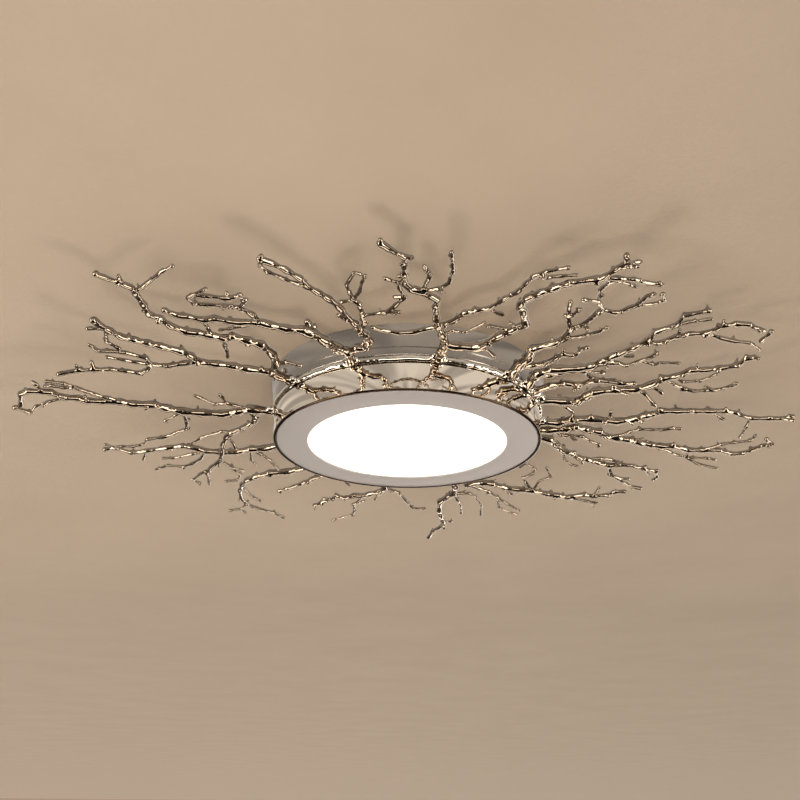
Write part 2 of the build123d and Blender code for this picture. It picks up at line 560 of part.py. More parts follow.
# Canopy: spun shell with a turned step, and a floor that carries everything below
with BuildPart() as canopy:
    with BuildSketch(Plane.XZ):
        with BuildLine():
            Polyline(
                (canopy_rim_radius, 0),
                (canopy_waist_radius, -canopy_waist_drop),
                (canopy_waist_radius - canopy_step, -canopy_waist_drop - canopy_step),
                (canopy_foot_radius, ring_top),
                (canopy_opening_radius, ring_top),
                (canopy_opening_radius, flange_top),
                (canopy_foot_radius - canopy_wall, flange_top),
                (canopy_waist_radius - canopy_step - canopy_wall, -canopy_waist_drop - canopy_step),
                (canopy_waist_radius - canopy_wall, -canopy_waist_drop),
                (canopy_rim_radius - canopy_wall, 0),
                close=True,
            )
        make_face()
        foot = vertices().sort_by_distance((canopy_foot_radius, ring_top))[0]
        fillet(foot, canopy_corner)
    revolve()
    with PolarLocations(canopy_radius(side_screw_drop), side_screw_count, side_screw_first_azimuth):
        with Locations((0, 0, -side_screw_drop)):
            Cylinder(m4_radius + hole_clearance, canopy_wall * 2 * cut_ratio, rotation=(0, 90, 0),
                     mode=Mode.SUBTRACT)
    with PolarLocations(stack_radius, stack_count, stack_first_azimuth):
        with Locations((0, 0, ring_top)):
            Cylinder(m4_radius + hole_clearance, canopy_wall * cut_ratio, mode=Mode.SUBTRACT)
    with PolarLocations(ring_screw_radius, ring_screw_count, ring_screw_first_azimuth):
        with Locations((0, 0, ring_top)):
            Cylinder(m3_radius + hole_clearance, canopy_wall * cut_ratio, mode=Mode.SUBTRACT)
canopy.part.label = "canopy"
export_step(canopy.part, "parts/canopy.step")

# Side screws: through the canopy into the ears
side_seat_radius = canopy_radius(side_screw_drop - m4_radius * head_ratio) + side_screw_seat
side_shank = side_seat_radius - ear_face_radius + mount_sheet + side_screw_past_ear
with BuildPart() as side_screws:
    with PolarLocations(side_seat_radius, side_screw_count, side_screw_first_azimuth):
        with Locations(Location((0, 0, -side_screw_drop), (0, 90, 0))):
            pan_screw(m4_radius, side_shank)
side_screws.part.label = "side_screws"
export_step(side_screws.part, "parts/side_screws.step")

# Twig ring: round-nosed ring with a blind socket for each casting
root_azimuths = [stems[0][4][0][1] for stems in twig_clusters.values()]
with BuildPart() as twig_ring:
    with BuildSketch(Plane.XZ):
        with Locations(((ring_inner_radius + ring_outer_radius) / 2, ring_middle)):
            Rectangle(ring_width, ring_height)
        nose = vertices().group_by(Axis.X)[-1]
        fillet(nose, ring_nose)
    revolve()
    with PolarLocations(ring_screw_radius, ring_screw_count, ring_screw_first_azimuth):
        with Locations((0, 0, ring_top)):
            Cylinder(m3_radius, 2 * (ring_screw_bite + hole_clearance), mode=Mode.SUBTRACT)
    for azimuth in root_azimuths:
        with PolarLocations(ring_outer_radius, 1, azimuth):
            with Locations((0, 0, ring_middle)):
                Cylinder(socket_radius, 2 * socket_depth, rotation=(0, 90, 0), mode=Mode.SUBTRACT)
twig_ring.part.label = "twig_ring"
export_step(twig_ring.part, "parts/twig_ring.step")

# Ring screws: from the canopy floor down into the ring
with BuildPart() as ring_screws:
    with PolarLocations(ring_screw_radius, ring_screw_count, ring_screw_first_azimuth):
        with Locations((0, 0, flange_top)):
            pan_screw(m3_radius, canopy_wall + ring_screw_bite)
ring_screws.part.label = "ring_screws"
export_step(ring_screws.part, "parts/ring_screws.step")

# Drum band: deep ring with a flange under the spacers and a rolled lower lip
with BuildPart() as drum_band:
    with BuildSketch(Plane.XZ):
        with BuildLine():
            Polyline(
                (band_opening_radius, band_top),
                (band_radius, band_top),
                (band_radius, band_bottom),
                (lip_inner_radius, band_bottom),
                (lip_inner_radius, band_bottom + band_lip_height),
                (band_inner_radius, band_bottom + band_lip_height + band_lip),
                (band_inner_radius, plate_top),
                (band_opening_radius, plate_top),
                close=True,
            )
        make_face()
        fillet(vertices().sort_by_distance((band_radius, band_top))[0], band_corner)
        fillet(vertices().sort_by_distance((band_radius, band_bottom))[0], band_lip)
    revolve()
    with PolarLocations(stack_radius, stack_count, stack_first_azimuth):
        with Locations((0, 0, plate_top)):
            Cylinder(m4_radius + hole_clearance, band_wall * cut_ratio, mode=Mode.SUBTRACT)
drum_band.part.label = "drum_band"
export_step(drum_band.part, "parts/drum_band.step")

# Spacers that keep the drum below the ring
with BuildPart() as stack_spacers:
    with PolarLocations(stack_radius, stack_count, stack_first_azimuth):
        with Locations((0, 0, band_top)):
            Cylinder(spacer_radius, ring_top - band_top, align=(Align.CENTER, Align.CENTER, Align.MIN))
            Cylinder(m4_radius + hole_clearance, (ring_top - band_top) * cut_ratio, mode=Mode.SUBTRACT)
stack_spacers.part.label = "stack_spacers"
export_step(stack_spacers.part, "parts/stack_spacers.step")

# Nuts on the canopy floor
with BuildPart() as stack_nuts:
    with BuildSketch(Plane.XY.offset(flange_top)):
        with PolarLocations(stack_radius, stack_count, stack_first_azimuth):
            RegularPolygon(nut_across_flats / 2, 6, major_radius=False)
            Circle(m4_radius, mode=Mode.SUBTRACT)
    extrude(amount=nut_height)
stack_nuts.part.label = "stack_nuts"
export_step(stack_nuts.part, "parts/stack_nuts.step")

# Stack screws: housing plate, drum flange, spacer and canopy floor
stack_grip = flange_top - plate_bottom
with BuildPart() as stack_screws:
    with PolarLocations(stack_radius, stack_count, stack_first_azimuth):
        with Locations(from_below(plate_bottom)):
            pan_screw(m4_radius, stack_grip + nut_height + stack_past_nut)
stack_screws.part.label = "stack_screws"
export_step(stack_screws.part, "parts/stack_screws.step")

# Driver and its two fixing feet
foot_hole_x = driver_length / 2 + driver_foot / 2
with BuildPart() as led_driver:
    with Locations((0, driver_y, plate_top)):
        Box(driver_length, driver_width, driver_height, align=(Align.CENTER, Align.CENTER, Align.MIN))
    rims = edges().group_by(Axis.Z)[-1] + edges().filter_by(Axis.Z)
    fillet(rims, driver_edge)
    with Locations((0, driver_y, plate_top)):
        Box(driver_length + 2 * driver_foot, driver_width / 2, driver_foot_thickness,
            align=(Align.CENTER, Align.CENTER, Align.MIN))
    with Locations((-foot_hole_x, driver_y, plate_top), (foot_hole_x, driver_y, plate_top)):
        Cylinder(m3_radius + hole_clearance, driver_foot_thickness * cut_ratio, mode=Mode.SUBTRACT)
led_driver.part.label = "led_driver"
export_step(led_driver.part, "parts/led_driver.step")

# Driver screws: through the feet into the housing plate
with BuildPart() as driver_screws:
    foot_top = plate_top + driver_foot_thickness
    with Locations((-foot_hole_x, driver_y, foot_top), (foot_hole_x, driver_y, foot_top)):
        pan_screw(m3_radius, driver_foot_thickness + plate_thickness)
driver_screws.part.label = "driver_screws"
export_step(driver_screws.part, "parts/driver_screws.step")

# Terminal block for the supply: one way beside another, open on both long sides
way_offsets = [(way - (terminal_ways - 1) / 2) for way in range(terminal_ways)]
block_hole_offset = terminal_length / 2 + terminal_flange / 2
block_holes = [(terminal_x + side * block_hole_offset, terminal_y) for side in (-1, 1)]
with BuildPart() as terminal_block:
    with Locations((terminal_x, terminal_y, plate_top)):
        Box(terminal_length, terminal_depth, terminal_height, align=(Align.CENTER, Align.CENTER, Align.MIN))
        Box(terminal_length + 2 * terminal_flange, terminal_depth / 2, terminal_flange_thickness,
            align=(Align.CENTER, Align.CENTER, Align.MIN))
    for offset in way_offsets:
        with Locations((terminal_x + offset * terminal_pitch, terminal_y, plate_top + terminal_height)):
            Cylinder(terminal_well_radius, 2 * terminal_well_depth, mode=Mode.SUBTRACT)
        with Locations((terminal_x + offset * terminal_pitch, terminal_y + terminal_depth / 2, lead_level)):
            Cylinder(lead_radius * lead_hole_ratio, terminal_depth / 2, rotation=(90, 0, 0),
                     mode=Mode.SUBTRACT)
    for x, y in block_holes:
        with Locations((x, y, plate_top)):
            Cylinder(m3_radius + hole_clearance, terminal_flange_thickness * cut_ratio, mode=Mode.SUBTRACT)
terminal_block.part.label = "terminal_block"
export_step(terminal_block.part, "parts/terminal_block.step")

# Clamp screws down in the terminal block's wells
with BuildPart() as terminal_screws:
    for offset in way_offsets:
        clamp_floor = plate_top + terminal_height - terminal_well_depth
        with Locations((terminal_x + offset * terminal_pitch, terminal_y, clamp_floor)):
            Cylinder(clamp_radius, clamp_height, align=(Align.CENTER, Align.CENTER, Align.MIN))
            with Locations((0, 0, clamp_height)):
                Box(clamp_radius * cut_ratio, clamp_slot_width, clamp_slot_depth * 2, mode=Mode.SUBTRACT)
terminal_screws.part.label = "terminal_screws"
export_step(terminal_screws.part, "parts/terminal_screws.step")

# Screws that fix the terminal block to the housing plate
with BuildPart() as block_screws:
    for x, y in block_holes:
        with Locations((x, y, plate_top + terminal_flange_thickness)):
            pan_screw(m3_radius, terminal_flange_thickness + plate_thickness)
block_screws.part.label = "block_screws"
export_step(block_screws.part, "parts/block_screws.step")

# Supply leads: from the driver's end, round a bend and into the terminal block
with BuildPart() as supply_leads:
    for offset in way_offsets:
        start_y = driver_y + offset * supply_lead_pitch
        way_x = terminal_x + offset * terminal_pitch
        with BuildLine() as route:
            FilletPolyline(
                (-driver_length / 2, start_y, lead_level),
                (way_x, start_y, lead_level),
                (way_x, terminal_y - terminal_depth / 2, lead_level),
                radius=lead_bend,
            )
        with BuildSketch(Plane(origin=route.line @ 0, z_dir=route.line % 0)):
            Circle(lead_radius)
        sweep(path=route.line)
supply_leads.part.label = "supply_leads"
export_step(supply_leads.part, "parts/supply_leads.step")

# Light leads: from the driver's other end, through the grommet to the board
led_offsets = [-led_lead_pitch / 2, led_lead_pitch / 2]
with BuildPart() as led_leads:
    for offset in led_offsets:
        with BuildLine() as route:
            FilletPolyline(
                (driver_length / 2, driver_y - offset, lead_level),
                (grommet_x + offset, driver_y - offset, lead_level),
                (grommet_x + offset, grommet_y, lead_level),
                (grommet_x + offset, grommet_y, board_bottom),
                radius=lead_bend,
            )
        with BuildSketch(Plane(origin=route.line @ 0, z_dir=route.line % 0)):
            Circle(lead_radius)
        sweep(path=route.line)
led_leads.part.label = "led_leads"
export_step(led_leads.part, "parts/led_leads.step")

# Grommet that lines the hole in the housing plate
with BuildPart() as led_grommet:
    with Locations((grommet_x, grommet_y, plate_bottom)):
        Cylinder(grommet_radius, plate_thickness, align=(Align.CENTER, Align.CENTER, Align.MIN))
    with Locations((grommet_x, grommet_y, plate_top)):
        Cylinder(grommet_radius + grommet_lip, grommet_lip, align=(Align.CENTER, Align.CENTER, Align.MIN))
    fillet(edges().filter_by(GeomType.CIRCLE).sort_by(Axis.Z)[-1], grommet_lip / 2)
    with Locations((grommet_x, grommet_y, plate_top)):
        Cylinder(grommet_radius - grommet_wall, plate_thickness * cut_ratio, mode=Mode.SUBTRACT)
led_grommet.part.label = "led_grommet"
export_step(led_grommet.part, "parts/led_grommet.step")

# Housing plate: carries the board below it and the driver above it
with BuildPart() as housing_plate:
    with BuildSketch(Plane.XY.offset(plate_bottom)):
        Circle(plate_radius)
        with PolarLocations(stack_radius, stack_count, stack_first_azimuth):
            Circle(m4_radius + hole_clearance, mode=Mode.SUBTRACT)
        with PolarLocations(board_screw_radius, board_screw_count, board_screw_first_azimuth):
            Circle(m3_radius, mode=Mode.SUBTRACT)
        with PolarLocations(reflector_screw_radius, reflector_screw_count, reflector_screw_first_azimuth):
            Circle(m3_radius, mode=Mode.SUBTRACT)
        with PolarLocations(bracket_screw_radius, lug_count, lug_first_azimuth):
            Circle(m3_radius, mode=Mode.SUBTRACT)
        with Locations((-foot_hole_x, driver_y), (foot_hole_x, driver_y), *block_holes):
            Circle(m3_radius, mode=Mode.SUBTRACT)
        with Locations((grommet_x, grommet_y)):
            Circle(grommet_radius, mode=Mode.SUBTRACT)
    extrude(amount=plate_thickness)
housing_plate.part.label = "housing_plate"
export_step(housing_plate.part, "parts/housing_plate.step")

# Light board under the housing plate
with BuildPart() as led_board:
    with BuildSketch(Plane.XY.offset(board_bottom)):
        Circle(board_radius)
        with PolarLocations(board_screw_radius, board_screw_count, board_screw_first_azimuth):
            Circle(m3_radius + hole_clearance, mode=Mode.SUBTRACT)
        for offset in led_offsets:
            with Locations((grommet_x + offset, grommet_y)):
                Circle(lead_radius + thread_clearance, mode=Mode.SUBTRACT)
    extrude(amount=board_thickness)
led_board.part.label = "led_board"
export_step(led_board.part, "parts/led_board.step")

# Light chips in rings on the board
with BuildPart() as led_chips:
    with Locations((0, 0, board_bottom)):
        for chip_radius, chip_count in chip_rings:
            with PolarLocations(chip_radius, chip_count):
                Box(chip_side, chip_side, chip_height, align=(Align.CENTER, Align.CENTER, Align.MAX))
led_chips.part.label = "led_chips"
export_step(led_chips.part, "parts/led_chips.step")

# Board screws, driven from below
with BuildPart() as board_screws:
    with PolarLocations(board_screw_radius, board_screw_count, board_screw_first_azimuth):
        with Locations(from_below(board_bottom)):
            pan_screw(m3_radius, board_thickness + plate_thickness)
board_screws.part.label = "board_screws"
export_step(board_screws.part, "parts/board_screws.step")

# Reflector: flange against the housing plate, then a cone that opens downwards
with BuildPart() as reflector:
    with BuildSketch(Plane.XZ):
        with BuildLine():
            Polyline(
                (reflector_inner_radius, plate_bottom),
                (throat_radius + reflector_wall, plate_bottom),
                (reflector_mouth_radius + reflector_wall, reflector_bottom),
                (reflector_mouth_radius, reflector_bottom),
                (throat_radius, plate_bottom - reflector_wall),
                (reflector_inner_radius, plate_bottom - reflector_wall),
                close=True,
            )
        make_face()
    revolve()
    with PolarLocations(reflector_screw_radius, reflector_screw_count, reflector_screw_first_azimuth):
        with Locations((0, 0, plate_bottom)):
            Cylinder(m3_radius + hole_clearance, reflector_wall * cut_ratio, mode=Mode.SUBTRACT)
reflector.part.label = "reflector"
export_step(reflector.part, "parts/reflector.step")

# Reflector screws, driven from below
with BuildPart() as reflector_screws:
    with PolarLocations(reflector_screw_radius, reflector_screw_count, reflector_screw_first_azimuth):
        with Locations(from_below(plate_bottom - reflector_wall)):
            pan_screw(m3_radius, reflector_wall + plate_thickness)
reflector_screws.part.label = "reflector_screws"
export_step(reflector_screws.part, "parts/reflector_screws.step")

# Bayonet brackets: foot on the housing plate, web, shelf and an end stop
stop_start = -(lug_width / 2 + lug_gap + bracket_stop)
bracket_middle = stop_start + bracket_width / 2
web_height = plate_bottom - shelf_bottom
with BuildPart() as bayonet_brackets:
    with PolarLocations(0, lug_count, lug_first_azimuth):
        with Locations((web_outer_radius, bracket_middle, plate_bottom)):
            Box(bracket_sheet, bracket_width, web_height, align=(Align.MAX, Align.CENTER, Align.MAX))
            Box(bracket_sheet + bracket_foot, bracket_width, bracket_sheet,
                align=(Align.MAX, Align.CENTER, Align.MAX))
        with Locations((web_inner_radius, bracket_middle, shelf_top)):
            Box(bracket_sheet + bracket_shelf, bracket_width, bracket_sheet,
                align=(Align.MIN, Align.CENTER, Align.MAX))
        with Locations((web_inner_radius, stop_start, shelf_bottom)):
            Box(bracket_sheet + bracket_shelf, bracket_stop, lug_top - shelf_bottom,
                align=(Align.MIN, Align.MIN, Align.MIN))
        with Locations((bracket_screw_radius, 0, plate_bottom)):
            Cylinder(m3_radius + hole_clearance, bracket_sheet * cut_ratio, mode=Mode.SUBTRACT)
bayonet_brackets.part.label = "bayonet_brackets"
export_step(bayonet_brackets.part, "parts/bayonet_brackets.step")

# Bracket screws, driven from below
with BuildPart() as bracket_screws:
    with PolarLocations(bracket_screw_radius, lug_count, lug_first_azimuth):
        with Locations(from_below(plate_bottom - bracket_sheet)):
            pan_screw(m3_radius, bracket_sheet + plate_thickness)
bracket_screws.part.label = "bracket_screws"
export_step(bracket_screws.part, "parts/bracket_screws.step")

# Bezel: trim plate with the light window, a skirt, three lugs and six screw bosses
with BuildPart() as bezel:
    with BuildSketch(Plane.XZ):
        with BuildLine():
            Polyline(
                (window_radius, bezel_bottom),
                (bezel_radius, bezel_bottom),
                (bezel_radius, skirt_top),
                (skirt_inner_radius, skirt_top),
                (skirt_inner_radius, bezel_inside),
                (window_radius, bezel_inside),
                close=True,
            )
        make_face()
        fillet(vertices().sort_by_distance((window_radius, bezel_bottom))[0], bezel_edge)
        fillet(vertices().sort_by_distance((bezel_radius, bezel_bottom))[0], bezel_edge)
    revolve()
    with PolarLocations(lug_inner_radius, lug_count, lug_first_azimuth):
        with Locations((0, 0, lug_top)):
            Box(lug_length + bezel_skirt_wall / 2, lug_width, lug_thickness,
                align=(Align.MIN, Align.CENTER, Align.MAX))
    with PolarLocations(boss_circle_radius, keeper_screw_count):
        with Locations((0, 0, bezel_inside)):
            Cylinder(boss_radius, diffuser_thickness, align=(Align.CENTER, Align.CENTER, Align.MIN))
        with Locations((0, 0, diffuser_top)):
            Cylinder(m3_radius, 2 * diffuser_thickness, mode=Mode.SUBTRACT)
bezel.part.label = "bezel"
export_step(bezel.part, "parts/bezel.step")

# Diffuser: opal disc that lies on the bezel's rim
with BuildPart() as diffuser:
    with BuildSketch(Plane.XY.offset(bezel_inside)):
        Circle(diffuser_radius)
    extrude(amount=diffuser_thickness)
diffuser.part.label = "diffuser"
export_step(diffuser.part, "parts/diffuser.step")

# Retaining ring: on the bosses, over the diffuser's edge
with BuildPart() as retaining_ring:
    with BuildSketch(Plane.XY.offset(diffuser_top)):
        Circle(keeper_radius)
        Circle(diffuser_radius - keeper_overlap, mode=Mode.SUBTRACT)
        with PolarLocations(boss_circle_radius, keeper_screw_count):
            Circle(m3_radius + hole_clearance, mode=Mode.SUBTRACT)
    extrude(amount=keeper_thickness)
retaining_ring.part.label = "retaining_ring"
export_step(retaining_ring.part, "parts/retaining_ring.step")

# Retaining screws, driven from above into the bosses
with BuildPart() as retaining_screws:
    with PolarLocations(boss_circle_radius, keeper_screw_count):
        with Locations((0, 0, keeper_top)):
            pan_screw(m3_radius, keeper_thickness + diffuser_thickness - hole_clearance)
retaining_screws.part.label = "retaining_screws"
export_step(retaining_screws.part, "parts/retaining_screws.step")


def twig_routes(stems):
    """Points and heights of every stem in a casting, each forked stem starting on its parent."""
    routes = []
    for fork, thick, thin, rise, marks in stems:
        if fork is None:
            points, heights = [], []
            steps = len(marks) - 1
            start = 0.0
        else:
            parent, knot = fork
            points, heights = [routes[parent][0][knot]], [routes[parent][1][knot]]
            steps = len(marks)
            start = heights[0]
        for reach, azimuth in marks:
            lift = start + (rise - start) * len(points) / steps
            reach = max(reach, root_gap)
            points.append(at(ring_outer_radius + reach, azimuth, ring_middle - crown_droop * reach + lift))
            heights.append(lift)
        routes.append((points, heights))
    return [points for points, heights in routes]


def twig_sections(points, thick, thin, is_root):
    """Places, directions and radii of a stem: a knot at each point and a waist between far ones."""
    sections = []
    last = len(points) - 1
    for index, point in enumerate(points):
        radius = thick + (thin - thick) * index / last
        along = (points[min(index + 1, last)] - points[max(index - 1, 0)]).normalized()
        if index == 0 and is_root:
            along = Vector(point.X, point.Y, 0).normalized()
        swell = knot_swell
        if index == last:
            swell = tip_swell
        elif index == 0 and not is_root:
            swell = fork_shrink
        sections.append((point, along, radius * swell))
        if index < last:
            run = points[index + 1] - point
            if run.length > waist_min_run:
                sections.append((point + run * 0.5, run.normalized(), radius * waist_shrink))
    sections.append((point + along * radius, along, radius * tip_end_shrink))
    return sections


def twig_solid(sections):
    """Stem as a ruled loft through round sections, each with its seam on top."""
    with BuildPart() as stem:
        for point, along, radius in sections:
            upward = Vector(0, 0, 1) - along * along.Z
            with BuildSketch(Plane(origin=point, x_dir=upward, z_dir=along)):
                Circle(radius)
        loft(ruled=True)
    return stem.part


# Twig castings: every stem of one is fused with it, and its spigot sits in a socket of the ring
spigot_end = ring_outer_radius - socket_depth + root_gap
spigot_length = ring_outer_radius + spigot_overlap - spigot_end
for name, stems in twig_clusters.items():
    stem_solids = []
    for points, stem in zip(twig_routes(stems), stems):
        stem_solids.append(twig_solid(twig_sections(points, stem[1], stem[2], stem[0] is None)))
    with BuildPart() as casting:
        with PolarLocations(spigot_end, 1, stems[0][4][0][1]):
            with Locations((0, 0, ring_middle)):
                Cylinder(socket_radius - spigot_clearance, spigot_length, rotation=(0, 90, 0),
                         align=(Align.CENTER, Align.CENTER, Align.MIN))
        add(stem_solids)
    casting.part.label = name
    export_step(casting.part, f"parts/{name}.step")
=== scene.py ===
"""Looks of a flush mount ceiling light: a nickel drum with an opal window and a crown of cast twigs.

The ceiling is the plane Z = 0 and the light hangs under it. The near side is -Y. Sizes are in millimetres
and angles in degrees where nothing else is said. Blender works in metres, so sizes are multiplied by MM.
"""

import functools
import logging
import math
from dataclasses import dataclass, field
from enum import Enum

import bmesh
import bpy
from mathutils import Matrix, Vector


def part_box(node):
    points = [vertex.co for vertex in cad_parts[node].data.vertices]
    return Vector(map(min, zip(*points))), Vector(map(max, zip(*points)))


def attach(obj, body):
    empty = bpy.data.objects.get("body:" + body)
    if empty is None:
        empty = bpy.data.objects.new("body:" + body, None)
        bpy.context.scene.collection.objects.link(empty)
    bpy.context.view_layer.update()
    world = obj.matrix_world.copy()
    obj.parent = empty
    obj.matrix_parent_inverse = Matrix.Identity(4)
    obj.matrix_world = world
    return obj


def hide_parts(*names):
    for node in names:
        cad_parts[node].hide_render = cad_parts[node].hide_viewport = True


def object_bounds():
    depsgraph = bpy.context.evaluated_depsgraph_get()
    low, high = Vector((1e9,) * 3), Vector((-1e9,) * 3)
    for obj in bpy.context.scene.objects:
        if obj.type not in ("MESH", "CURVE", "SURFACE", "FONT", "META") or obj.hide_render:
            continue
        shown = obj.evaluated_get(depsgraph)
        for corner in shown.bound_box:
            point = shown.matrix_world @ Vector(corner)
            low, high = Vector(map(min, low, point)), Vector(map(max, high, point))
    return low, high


MM = 0.001
UP = Vector((0.0, 0.0, 1.0))
# What a vector is multiplied by, to lay it flat and to draw out the marks of a finish
FLAT = (1.0, 1.0, 0.0)
ROLLED_STRETCH = (0.03, 1.0, 1.0)
TURNED_STRETCH = (0.01, 0.01, 1.0)
# The values between which a noise mostly lies, and the least roughness of a finish
NOISE_SPAN = (0.3, 0.7)
LEAST_ROUGHNESS = 0.02
SHARP_ANGLE = math.radians(32)
Node = bpy.types.Node
Tree = bpy.types.NodeTree
Socket = bpy.types.NodeSocket
log = logging.getLogger("ceiling_light")
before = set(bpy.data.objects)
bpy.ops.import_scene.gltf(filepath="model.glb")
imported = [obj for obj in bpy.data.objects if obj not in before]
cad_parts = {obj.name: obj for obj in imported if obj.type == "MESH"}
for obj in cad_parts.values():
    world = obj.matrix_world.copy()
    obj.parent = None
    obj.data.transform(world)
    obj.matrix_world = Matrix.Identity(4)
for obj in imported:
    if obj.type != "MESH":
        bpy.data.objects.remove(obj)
CAD_LOW, CAD_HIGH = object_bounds()


def linear(colour: str) -> tuple[float, float, float, float]:
    """Turns an sRGB hex colour into the linear values that shaders take.

    Args:
        colour: a colour such as "#c0ffee".

    Returns:
        Linear red, green and blue, and an alpha of one.
    """
    channels = [int(colour[start:start + 2], 16) / 255 for start in (1, 3, 5)]
    bright = [c / 12.92 if c <= 0.04045 else ((c + 0.055) / 1.055) ** 2.4 for c in channels]
    return bright[0], bright[1], bright[2], 1.0


def add(tree: Tree, kind: str, values: dict | None = None, **settings: object) -> Node:
    """Adds a node, with its settings, and feeds its inputs.

    Args:
        tree: the tree that gets the node.
        kind: the node's type.
        values: what goes into each input, by name or number: another node's output, or a value.
        **settings: the node's own properties.

    Returns:
        The new node.
    """
    node = tree.nodes.new(kind)
    for name, value in settings.items():
        setattr(node, name, value)
    for key, value in (values or {}).items():
        if isinstance(value, Socket):
            tree.links.new(value, node.inputs[key])
        else:
            node.inputs[key].default_value = value
    return node


def maths(tree: Tree, operation: str, *values: object) -> Socket:
    """Returns the result of a sum of up to three numbers."""
    return add(tree, "ShaderNodeMath", dict(enumerate(values)), operation=operation).outputs[0]


def vectors(tree: Tree, operation: str, *values: object) -> Socket:
    """Returns the result of a sum of vectors, or of a vector and a number for SCALE."""
    keys = (0, "Scale" if operation == "SCALE" else 1)
    node = add(tree, "ShaderNodeVectorMath", dict(zip(keys, values)), operation=operation)
    return node.outputs["Value" if operation in ("LENGTH", "DISTANCE", "DOT_PRODUCT") else "Vector"]


def ranged(tree: Tree, value: Socket, span: tuple, result: tuple = (0.0, 1.0), **settings: object) -> Socket:
    """Returns a number carried over from one span of values to another, and held inside it."""
    values = {"Value": value, "From Min": span[0], "From Max": span[1], "To Min": result[0], "To Max": result[1]}
    return add(tree, "ShaderNodeMapRange", values, **settings).outputs["Result"]


def blend(tree: Tree, share: Socket, first: object, second: object) -> Socket:
    """Returns a mix of two colours."""
    return add(tree, "ShaderNodeMix", {"Factor": share, 6: first, 7: second}, data_type="RGBA").outputs[2]


def either(tree: Tree, share: Socket, first: Node, second: Node) -> Node:
    """Adds a mix of two shaders."""
    return add(tree, "ShaderNodeMixShader", {"Fac": share, 1: first.outputs[0], 2: second.outputs[0]})


def own_place(tree: Tree) -> Socket:
    """Returns each point's place in its object."""
    return add(tree, "ShaderNodeTexCoord").outputs["Object"]


def cleared(owner: bpy.types.ID) -> Tree:
    """Switches on the nodes of a material, a world or a light, and returns their tree, emptied."""
    owner.use_nodes = True
    owner.node_tree.nodes.clear()
    return owner.node_tree


class Pattern(Enum):
    """How the marks of a finish lie on its surface."""

    GRAIN = "even in every direction"
    TURNED = "rings round the lamp's axis"
    ROLLED = "long lines along X"


@dataclass(frozen=True)
class Finish:
    """A material and how its surface was made.

    Attributes:
        name: the finish's name.
        colour: its main colour.
        shade: the colour of its darker patches.
        roughness: how dull it is, in its middle.
        spread: how far the roughness goes up and down from patch to patch.
        patch: width of a patch of colour.
        grain: width of one mark.
        depth: height of a mark.
        metallic: one for a bare metal.
        coat: share of clear lacquer over it.
        pattern: how the marks lie.
    """

    name: str
    colour: str
    shade: str
    roughness: float
    spread: float
    patch: float
    grain: float
    depth: float
    metallic: float = 0.0
    coat: float = 0.0
    pattern: Pattern = Pattern.GRAIN

    def place(self, tree: Tree) -> Socket:
        """Lays out the marks: object coordinates in millimetres, drawn out along the marks."""
        in_mm = vectors(tree, "SCALE", own_place(tree), 1 / MM)
        if self.pattern is Pattern.ROLLED:
            return vectors(tree, "MULTIPLY", in_mm, ROLLED_STRETCH)
        if self.pattern is Pattern.TURNED:
            reach = vectors(tree, "LENGTH", vectors(tree, "MULTIPLY", in_mm, FLAT))
            ring = add(tree, "ShaderNodeCombineXYZ", {"X": reach}).outputs[0]
            return vectors(tree, "ADD", ring, vectors(tree, "MULTIPLY", in_mm, TURNED_STRETCH))
        return in_mm

    def build(self) -> bpy.types.Material:
        """Makes the material, with its patches of colour and gloss and its marks."""
        material = bpy.data.materials.new(self.name)
        tree = cleared(material)
        per_patch = 1 / (self.patch * MM)
        patches = add(tree, "ShaderNodeTexNoise", {"Vector": own_place(tree), "Scale": per_patch, "Detail": 3.0})
        marks = add(tree, "ShaderNodeTexNoise", {"Vector": self.place(tree), "Scale": 1 / self.grain, "Detail": 2.0})
        tint = blend(tree, patches.outputs["Fac"], linear(self.colour), linear(self.shade))
        glosses = (max(self.roughness - self.spread, LEAST_ROUGHNESS), self.roughness + self.spread)
        bump = add(tree, "ShaderNodeBump", {"Height": marks.outputs["Fac"], "Distance": self.depth * MM})
        shader = add(tree, "ShaderNodeBsdfPrincipled", {
            "Base Color": tint,
            "Metallic": self.metallic,
            "Roughness": ranged(tree, marks.outputs["Fac"], NOISE_SPAN, glosses),
            "Normal": bump.outputs["Normal"],
            "Coat Weight": self.coat,
        })
        add(tree, "ShaderNodeOutputMaterial", {"Surface": shader.outputs["BSDF"]})
        self.enrich(tree, shader, tint)
        return material

    def enrich(self, tree: Tree, shader: Node, tint: Socket) -> None:
        """Adds what only some finishes have. A plain finish adds nothing."""


@dataclass(frozen=True)
class ShadedCastFinish(Finish):
    """A cast and plated metal, with painted shade in its hollows and on its upper side.

    Attributes:
        hollow: colour of the painted shade, in the hollows and on the upper side.
        painted_hollow_shade: share of the painted shade down in a full hollow.
        painted_top_shade: share of the painted shade on the side that faces the ceiling.
    """

    hollow: str = "#33281f"
    painted_hollow_shade: float = 0.75
    painted_top_shade: float = 0.42

    def enrich(self, tree: Tree, shader: Node, tint: Socket) -> None:
        """Paints shade into the hollows that the skin tree marked, and onto the upper side."""
        # Painted shade: deep hollows and faces turned up to the ceiling are mixed towards the dark hollow colour
        depth = add(tree, "ShaderNodeAttribute", attribute_name="hollow").outputs["Fac"]
        sunk = ranged(tree, depth, (0.1, 1.0), (0.0, self.painted_hollow_shade))
        facing = add(tree, "ShaderNodeNewGeometry").outputs["Normal"]
        height = add(tree, "ShaderNodeSeparateXYZ", {0: facing}).outputs["Z"]
        upper = ranged(tree, height, (-0.1, 0.75), (0.0, self.painted_top_shade))
        share = maths(tree, "MAXIMUM", sunk, upper)
        tree.links.new(blend(tree, share, tint, linear(self.hollow)), shader.inputs["Base Color"])


